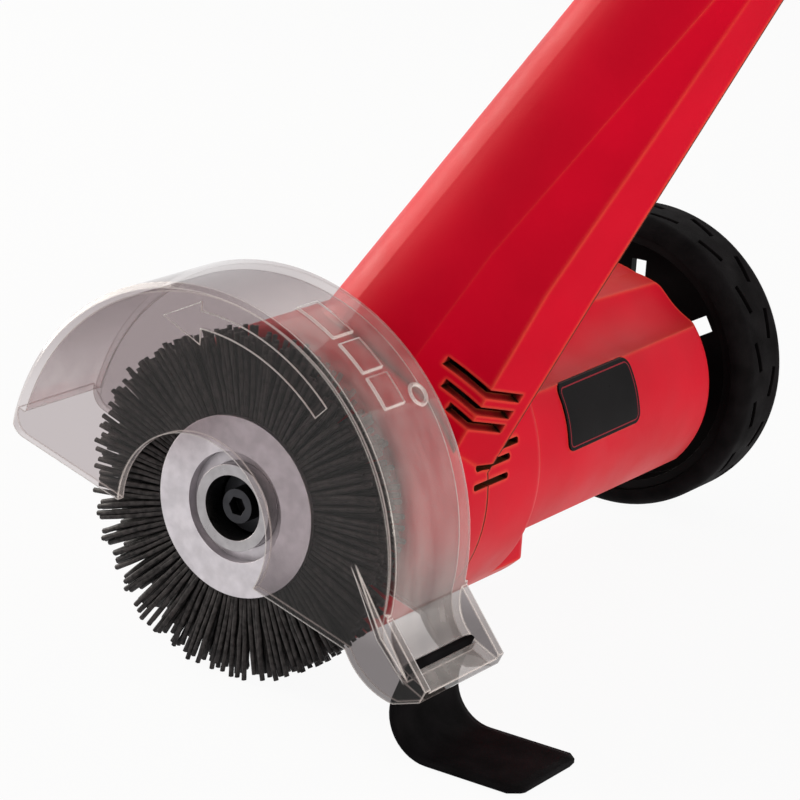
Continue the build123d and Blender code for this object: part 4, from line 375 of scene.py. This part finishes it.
def metal(name, tone, rough, streak=(1, 1, 1), depth=0.00002, grain=0.0003, dark=(0.1, 0.7)):
    """Metal with duller patches, streaked along an axis, with painted shade where the piece closes itself in.
    """
    look = Look(name, tone, rough[0], metallic=1.0)
    look.soft_edges(radius=0.0003)
    colour = look.mottle(size=0.004, low=shade(tone, 0.82), high=tone, detail=5.0, stretch=streak)
    # painted shade in bores and recesses
    look.painted_hollow_shade(colour, reach=0.02, low=dark[0], high=dark[1])
    look.uneven(size=0.003, low=rough[0], high=rough[1], stretch=streak)
    look.grain(grain, depth, streak)
    return look.material


def strand_look():
    """Nylon strands, greyer in patches, with painted shade between one another."""
    look = Look("bristle", STRAND_GREY, 0.5, sockets=[("Specular IOR Level", 0.14)])
    colour = look.mottle(size=0.0016, low=STRAND_DARK, high=STRAND_PALE, detail=2.0)
    # painted shade between the strands
    look.painted_hollow_shade(colour, reach=0.003, low=0.15, high=0.65)
    look.uneven(size=0.002, low=0.42, high=0.62)
    look.grain(size=0.0004, depth=0.00006)
    return look.material


TURNED = (1, 0.2, 1)            # fine streaks round an axis along Y
WOUND = (1, 0.25, 1)
STACKED = (8, 0.3, 8)           # thin sheets across Y

LOOKS = {
    "red_shell": red_plastic(),
    "label_black": label_plate(),
    "guard_clear": clear_plastic(),
    "flap_rubber": rubber("flap_rubber", (0.0025, 0.0022, 0.0026)),
    "bristle_nylon": strand_look(),
    "plate_zinc": metal("zinc", (0.64, 0.60, 0.63), (0.32, 0.48)),
    "hub_steel": metal("turned_steel", (0.42, 0.40, 0.41), (0.25, 0.40), TURNED, dark=(0.3, 0.95)),
    "screw_steel": metal("dark_steel", (0.05, 0.05, 0.055), (0.35, 0.5)),
    "shaft_steel": metal("machined_steel", (0.55, 0.55, 0.57), (0.22, 0.35), TURNED),
    "bearing_steel": metal("ground_steel", (0.66, 0.66, 0.68), (0.12, 0.22)),
    "bronze": metal("bronze", (0.60, 0.40, 0.20), (0.3, 0.45)),
    "copper_wire": metal("copper", (0.60, 0.25, 0.12), (0.3, 0.45), WOUND, depth=0.0001, grain=0.0008),
    "laminations": metal("laminations", (0.28, 0.28, 0.30), (0.35, 0.5), STACKED, depth=0.0001, grain=0.0006),
    "carbon": rubber("carbon", (0.03, 0.03, 0.03)),
    "inner_plastic": black_plastic("inner_plastic", (0.05, 0.05, 0.055)),
    "wheel_plastic": black_plastic("wheel_plastic", (0.0045, 0.004, 0.0045), (0.38, 0.5)),
    "tyre_rubber": rubber("tyre", (0.004, 0.0035, 0.004)),
    "tube_aluminium": metal("aluminium", (0.40, 0.41, 0.42), (0.40, 0.52), depth=0.000005),
    "black_plastic": black_plastic(),
    "grip_rubber": rubber("grip_rubber", (0.008, 0.008, 0.008)),
    "button_grey": black_plastic("button", (0.06, 0.06, 0.06)),
}
LOOKS["handle_red"] = LOOKS["red_shell"]
SLOT_OF = {row["node"]: row["material_slot"] for row in frame["record"]["subparts"]}
for name, node in NODES.items():
    node.data.materials.clear()
    node.data.materials.append(LOOKS[SLOT_OF[name]])
NODES["brush_washer"].data.materials[0] = LOOKS["screw_steel"]  # painted shade: dark steel on the washer stands for the shade at the bottom of the hub


def piece(name, points, faces, slot, body, smooth=True):
    """A new mesh that rides on a body and takes a slot's look."""
    mesh = bpy.data.meshes.new(name)
    mesh.from_pydata(points, [], faces)
    mesh.validate()
    mesh.polygons.foreach_set("use_smooth", [smooth] * len(mesh.polygons))
    mesh.materials.append(LOOKS[slot])
    made = bpy.data.objects.new(name, mesh)
    bpy.context.scene.collection.objects.link(made)
    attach(made, body)
    return made


# Bristles
BRISTLE_SEED = 11
BRISTLE_ROWS = 5
BRISTLES_PER_ROW = 120
BRISTLE_R = 0.00078             # a strand's own radius
BRISTLE_SIDES = 6
BRISTLE_STEPS = 5
BRISTLE_ROOT_R = 0.0225
BRISTLE_TIP_R = 0.0498
BRISTLE_UNEVEN = 0.0028         # how much shorter the shortest is
ROOT_Y = (-0.0025, -0.0075)     # front and rear row at the roots, from the plate's front face
TIP_Y = (0.0012, -0.0103)
TUFT = 3                        # strands that lean together
TUFT_GATHER = 0.015             # how far a tuft's strands close up at the tip, in radians each
TUFT_DRIFT = 0.0006             # a tuft's lean along Y, as the spread of its draws
TUFT_SWING = 0.010              # and round the axle, in radians
STRAND_SPACING = 0.15           # uneven spacing in the row, as a share of the spacing
STRAND_SWING = 0.007
STRAND_BOW = 0.00025
STRAND_WAVE = 0.00015
STRAND_DRIFT = 0.0003


def bristles():
    """Coarse strands in rows, each a little bent and cut to its own length."""
    draw = random.Random(BRISTLE_SEED)
    points, faces = [], []
    for row in range(BRISTLE_ROWS):
        share = row / (BRISTLE_ROWS - 1)
        root_y = ROOT_Y[0] + (ROOT_Y[1] - ROOT_Y[0]) * share
        tip_y = TIP_Y[0] + (TIP_Y[1] - TIP_Y[0]) * share
        stagger = 0.5 * (row % 2)
        for k in range(BRISTLES_PER_ROW):
            if k % TUFT == 0:
                tuft_drift = draw.gauss(0, TUFT_DRIFT)
                tuft_swing = draw.gauss(0, TUFT_SWING)
            spacing = k + stagger + draw.uniform(-STRAND_SPACING, STRAND_SPACING)
            angle = 2 * math.pi * spacing / BRISTLES_PER_ROW
            gather = (k % TUFT - (TUFT - 1) / 2) * TUFT_GATHER
            tip_r = BRISTLE_TIP_R - BRISTLE_UNEVEN * draw.random() ** 2
            swing = tuft_swing - gather + draw.gauss(0, STRAND_SWING)
            bow = draw.gauss(0, STRAND_BOW)
            wave = draw.gauss(0, STRAND_WAVE)
            drift = tuft_drift + draw.gauss(0, STRAND_DRIFT)
            start = len(points)
            for step in range(BRISTLE_STEPS + 1):
                t = step / BRISTLE_STEPS
                radius = BRISTLE_ROOT_R + (tip_r - BRISTLE_ROOT_R) * t
                turn = angle + swing * t * t + bow * math.sin(math.pi * t) / radius
                y = root_y + (tip_y - root_y) * t + wave * math.sin(4 * math.pi * t) + drift * t
                outward = Vector((math.cos(turn), 0, math.sin(turn)))
                across = Vector((-math.sin(turn), 0, math.cos(turn)))
                middle = AXLE + outward * radius + Vector((0, y, 0))
                for side in range(BRISTLE_SIDES):
                    a = 2 * math.pi * side / BRISTLE_SIDES
                    sideways = across * BRISTLE_R * math.cos(a)
                    points.append(middle + sideways + Vector((0, BRISTLE_R * math.sin(a), 0)))
            for step in range(BRISTLE_STEPS):
                for side in range(BRISTLE_SIDES):
                    a = start + step * BRISTLE_SIDES + side
                    b = start + step * BRISTLE_SIDES + (side + 1) % BRISTLE_SIDES
                    faces.append((a, b, b + BRISTLE_SIDES, a + BRISTLE_SIDES))
            last = start + BRISTLE_STEPS * BRISTLE_SIDES
            faces.append(tuple(range(last, last + BRISTLE_SIDES)))
            faces.append(tuple(reversed(range(start, start + BRISTLE_SIDES))))
    made = piece("bristle_strands", points, faces, "bristle_nylon", "brush")
    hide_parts("brush_bristles")


# Splash flap
FLAP_TOP = (-0.07128, 0.02672)              # (x, z), from the ground under the axle
FLAP_BEND_CENTRE = (-0.07905, 0.01340)
FLAP_BEND_R = 0.012
FLAP_LEAN = math.radians(20.9)              # of the sheet's normal above the level
FLAP_END = (FLAP_LOW.x - AXLE.x, 0.0014)
FLAP_MIDDLE_Y = (FLAP_LOW.y + FLAP_HIGH.y) / 2 - AXLE.y
FLAP_HALF = (FLAP_HIGH.y - FLAP_LOW.y) / 2
FLAP_HALF_T = 0.0011
FLAP_BEND_STEPS = 14
FLAP_TAIL_STEPS = 10
FLAP_ROWS = 12
FLAP_CORNER = 0.0025
FLAP_RIM = 0.55                             # share of the thickness that is left at the rim


def flap_path():
    """Points (x, z) along the flap's middle line, each with the angle of its normal."""
    path = [(FLAP_TOP, FLAP_LEAN)]
    for step in range(FLAP_BEND_STEPS + 1):
        turn = FLAP_LEAN + (-math.pi / 2 - FLAP_LEAN) * step / FLAP_BEND_STEPS
        place = (
            FLAP_BEND_CENTRE[0] + FLAP_BEND_R * math.cos(turn),
            FLAP_BEND_CENTRE[1] + FLAP_BEND_R * math.sin(turn),
        )
        path.append((place, turn))
    for step in range(1, FLAP_TAIL_STEPS + 1):
        x = FLAP_BEND_CENTRE[0] + (FLAP_END[0] - FLAP_BEND_CENTRE[0]) * step / FLAP_TAIL_STEPS
        path.append(((x, FLAP_END[1]), -math.pi / 2))
    return path


def splash_flap():
    """Rubber sheet with rounded corners and a rounded rim."""
    path = flap_path()
    points, faces, rings = [], [], []
    for (x, z), turn in path:
        in_corner = max(0.0, FLAP_CORNER - abs(x - FLAP_END[0]))
        pull = FLAP_CORNER - math.sqrt(max(0.0, FLAP_CORNER ** 2 - in_corner ** 2))
        half = FLAP_HALF - pull
        outline = []
        for row in range(FLAP_ROWS + 1):
            outline.append((-half + 2 * half * row / FLAP_ROWS, 1.0))
        for row in range(FLAP_ROWS + 1):
            outline.append((half - 2 * half * row / FLAP_ROWS, -1.0))
        ring = []
        for y, side in outline:
            edge = min(1.0, (half - abs(y)) / FLAP_HALF_T + FLAP_RIM)
            out = side * FLAP_HALF_T * edge
            ring.append(len(points))
            points.append(Vector((
                AXLE.x + x + out * math.cos(turn),
                AXLE.y + FLAP_MIDDLE_Y + y,
                z + out * math.sin(turn),
            )))
        rings.append(ring)
    for low, high in zip(rings, rings[1:]):
        for k in range(len(low)):
            n = (k + 1) % len(low)
            faces.append((low[k], low[n], high[n], high[k]))
    faces.append(tuple(reversed(rings[0])))
    faces.append(tuple(rings[-1]))
    made = piece("flap_sheet", points, faces, "flap_rubber", "housing")
    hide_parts("splash_flap")


# Soft sleeve on the second handle
SLEEVE_HALF = 0.028
SLEEVE_R = 0.0125
SLEEVE_BORE_R = 0.00905
SLEEVE_RIBS = 11
SLEEVE_RIB = 0.0009             # depth between the ribs
SLEEVE_END = (0.0025, 0.0022)   # length and depth of the rounding at each end
SLEEVE_STEPS = 132
SLEEVE_SIDES = 48


def grip_sleeve():
    """Ribbed rubber sleeve turned about its bar."""
    profile = [(SLEEVE_BORE_R, -SLEEVE_HALF)]
    for step in range(SLEEVE_STEPS + 1):
        t = step / SLEEVE_STEPS
        y = -SLEEVE_HALF + 2 * SLEEVE_HALF * t
        end = min(1.0, (SLEEVE_HALF - abs(y)) / SLEEVE_END[0])
        rib = 0.5 - 0.5 * math.cos(2 * math.pi * SLEEVE_RIBS * t)
        rounding = SLEEVE_END[1] * (1 - math.sqrt(1 - (1 - end) ** 2))
        profile.append((SLEEVE_R - SLEEVE_RIB * (1 - rib ** 0.5) - rounding, y))
    profile.append((SLEEVE_BORE_R, SLEEVE_HALF))
    points, faces = [], []
    for side in range(SLEEVE_SIDES):
        a = 2 * math.pi * side / SLEEVE_SIDES
        for radius, y in profile:
            points.append(SLEEVE_MIDDLE + Vector((radius * math.cos(a), y, radius * math.sin(a))))
    count = len(profile)
    for side in range(SLEEVE_SIDES):
        here, there = side * count, (side + 1) % SLEEVE_SIDES * count
        for k in range(count):
            n = (k + 1) % count
            faces.append((here + k, here + n, there + n, there + k))
    made = piece("grip_sleeve", points, faces, "grip_rubber", "aux_handle")
    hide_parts("aux_grip")


# Direction arrow raised on the guard's front wall
ARROW_SHAFT = (0.0557, 0.0606)      # inner and outer radius
ARROW_HEAD = (0.0512, 0.0632)
ARROW_ANGLES = (78.0, 90.5, 135.0)  # tip, foot of the head, end of the shaft
ARROW_STEPS = 36
ARROW_LINE = 0.00022                # half the line's width, and its height
ARROW_TOP = 0.6                     # share of the width at the line's top
ARROW_SIDES = 4                     # of the line's section
GUARD_FRONT = 0.020                 # front wall's face in front of the brush's plate


def direction_arrow():
    """Thin raised outline of a curved arrow."""
    tip, foot, end = ARROW_ANGLES
    corners = []
    for step in range(ARROW_STEPS + 1):
        corners.append((ARROW_SHAFT[0], foot + (end - foot) * step / ARROW_STEPS))
    for step in range(ARROW_STEPS + 1):
        corners.append((ARROW_SHAFT[1], end + (foot - end) * step / ARROW_STEPS))
    middle = sum(ARROW_SHAFT) / 2
    corners += [(ARROW_HEAD[1], foot), (middle, tip), (ARROW_HEAD[0], foot)]
    path = [Vector((r * math.cos(math.radians(a)), r * math.sin(math.radians(a)))) for r, a in corners]
    points, faces = [], []
    sunk = -ARROW_LINE / 2
    for k, here in enumerate(path):
        before, after = path[k - 1], path[(k + 1) % len(path)]
        along = (here - before).normalized() + (after - here).normalized()
        out = Vector((along.y, -along.x)).normalized() * ARROW_LINE
        section = ((out, sunk), (out * ARROW_TOP, ARROW_LINE), (out * -ARROW_TOP, ARROW_LINE), (-out, sunk))
        for side, height in section:
            place = here + side
            points.append(AXLE + Vector((place.x, GUARD_FRONT + height, place.y)))
    for k in range(len(path)):
        this, following = ARROW_SIDES * k, ARROW_SIDES * ((k + 1) % len(path))
        for a in range(ARROW_SIDES):
            b = (a + 1) % ARROW_SIDES
            faces.append((this + a, this + b, following + b, following + a))
    piece("direction_arrow", points, faces, "guard_clear", "housing", smooth=False)


bristles()
splash_flap()
grip_sleeve()
direction_arrow()


# Studio
FLOOR_HALF = 6.0
FLOOR_GREY = (0.60, 0.60, 0.60, 1)
FLOOR_WHITE = 0.94              # share of plain white, which leaves a faint shadow
WORLD_LIGHT = 0.28
LAMP_COLOUR = (1.0, 0.94, 0.84)
HEAD = Vector((0.22, 0.03, 0.12))   # what the lamps point at
CLEAR_WALLS = 24                # that one ray may pass


def background_rays(tree):
    """1 for rays from the camera, through glass or off a gloss, and 0 for the soft light on the object."""
    light = tree.nodes.new("ShaderNodeLightPath")
    found = light.outputs["Is Camera Ray"]
    for kind in ("Is Transmission Ray", "Is Glossy Ray"):
        either = tree.nodes.new("ShaderNodeMath")
        either.operation = "MAXIMUM"
        tree.links.new(found, either.inputs[0])
        tree.links.new(light.outputs[kind], either.inputs[1])
        found = either.outputs[0]
    return found


def studio_floor():
    """Wide pale floor that keeps a faint shadow of the tool."""
    corners = [(x * FLOOR_HALF, y * FLOOR_HALF, 0) for x, y in ((-1, -1), (1, -1), (1, 1), (-1, 1))]
    mesh = bpy.data.meshes.new("floor")
    mesh.from_pydata(corners, [], [(0, 1, 2, 3)])
    floor = bpy.data.objects.new("floor", mesh)
    bpy.context.scene.collection.objects.link(floor)
    look = bpy.data.materials.new("floor")
    look.use_nodes = True
    tree = look.node_tree
    tree.nodes.clear()
    matt = tree.nodes.new("ShaderNodeBsdfDiffuse")
    matt.inputs["Color"].default_value = FLOOR_GREY
    glow = tree.nodes.new("ShaderNodeEmission")
    glow.inputs["Color"].default_value = WHITE
    share = tree.nodes.new("ShaderNodeMath")
    share.operation = "MULTIPLY"
    tree.links.new(background_rays(tree), share.inputs[0])
    share.inputs[1].default_value = FLOOR_WHITE
    mixed = tree.nodes.new("ShaderNodeMixShader")
    tree.links.new(share.outputs[0], mixed.inputs[0])
    tree.links.new(matt.outputs[0], mixed.inputs[1])
    tree.links.new(glow.outputs[0], mixed.inputs[2])
    out = tree.nodes.new("ShaderNodeOutputMaterial")
    tree.links.new(mixed.outputs[0], out.inputs["Surface"])
    mesh.materials.append(look)


def studio_world():
    """White to the camera and in reflections, plain soft light to the object."""
    world = bpy.data.worlds.new("studio")
    bpy.context.scene.world = world
    world.use_nodes = True
    tree = world.node_tree
    tree.nodes.clear()
    light = tree.nodes.new("ShaderNodeBackground")
    light.inputs["Color"].default_value = WHITE
    light.inputs["Strength"].default_value = WORLD_LIGHT
    white = tree.nodes.new("ShaderNodeBackground")
    white.inputs["Color"].default_value = WHITE
    white.inputs["Strength"].default_value = 1.0
    mixed = tree.nodes.new("ShaderNodeMixShader")
    tree.links.new(background_rays(tree), mixed.inputs[0])
    tree.links.new(light.outputs[0], mixed.inputs[1])
    tree.links.new(white.outputs[0], mixed.inputs[2])
    out = tree.nodes.new("ShaderNodeOutputWorld")
    tree.links.new(mixed.outputs[0], out.inputs["Surface"])


def soft_light(name, place, wide, tall, watts):
    """A rectangular lamp pointed at the tool's head, out of the camera's sight."""
    lamp = bpy.data.lights.new(name, "AREA")
    lamp.shape = "RECTANGLE"
    lamp.size = wide
    lamp.size_y = tall
    lamp.energy = watts
    lamp.color = LAMP_COLOUR
    made = bpy.data.objects.new(name, lamp)
    bpy.context.scene.collection.objects.link(made)
    made.visible_camera = False
    away = (Vector(place) - HEAD).normalized()
    made.matrix_world = Matrix.Translation(place) @ away.to_track_quat("Z", "Y").to_matrix().to_4x4()


def photo_camera():
    """Camera at the photograph's viewing angle."""
    lens = bpy.data.cameras.new("camera")
    lens.sensor_width = SENSOR
    lens.lens = LENS
    lens.clip_start, lens.clip_end = CAMERA_CLIP
    camera = bpy.data.objects.new("camera", lens)
    bpy.context.scene.collection.objects.link(camera)
    turn = Matrix((CAMERA_RIGHT, CAMERA_UP, CAMERA_RIGHT.cross(CAMERA_UP))).transposed()
    camera.matrix_world = Matrix.Translation(CAMERA_PLACE) @ turn.to_4x4()
    return camera


studio_floor()
studio_world()
soft_light("left_light", (1.55, 0.15, 0.50), wide=1.2, tall=1.2, watts=26.0)
soft_light("right_light", (-1.15, 0.22, 0.17), wide=1.0, tall=0.32, watts=15.0)
soft_light("rear_light", (0.0, -1.60, 1.40), wide=1.5, tall=1.5, watts=5.0)
soft_light("fill_light", (-0.05, 1.50, 1.10), wide=1.2, tall=1.2, watts=7.5)
bpy.context.scene.camera = photo_camera()
bpy.context.scene.view_settings.view_transform = "Standard"
bpy.context.scene.cycles.transparent_max_bounces = CLEAR_WALLS
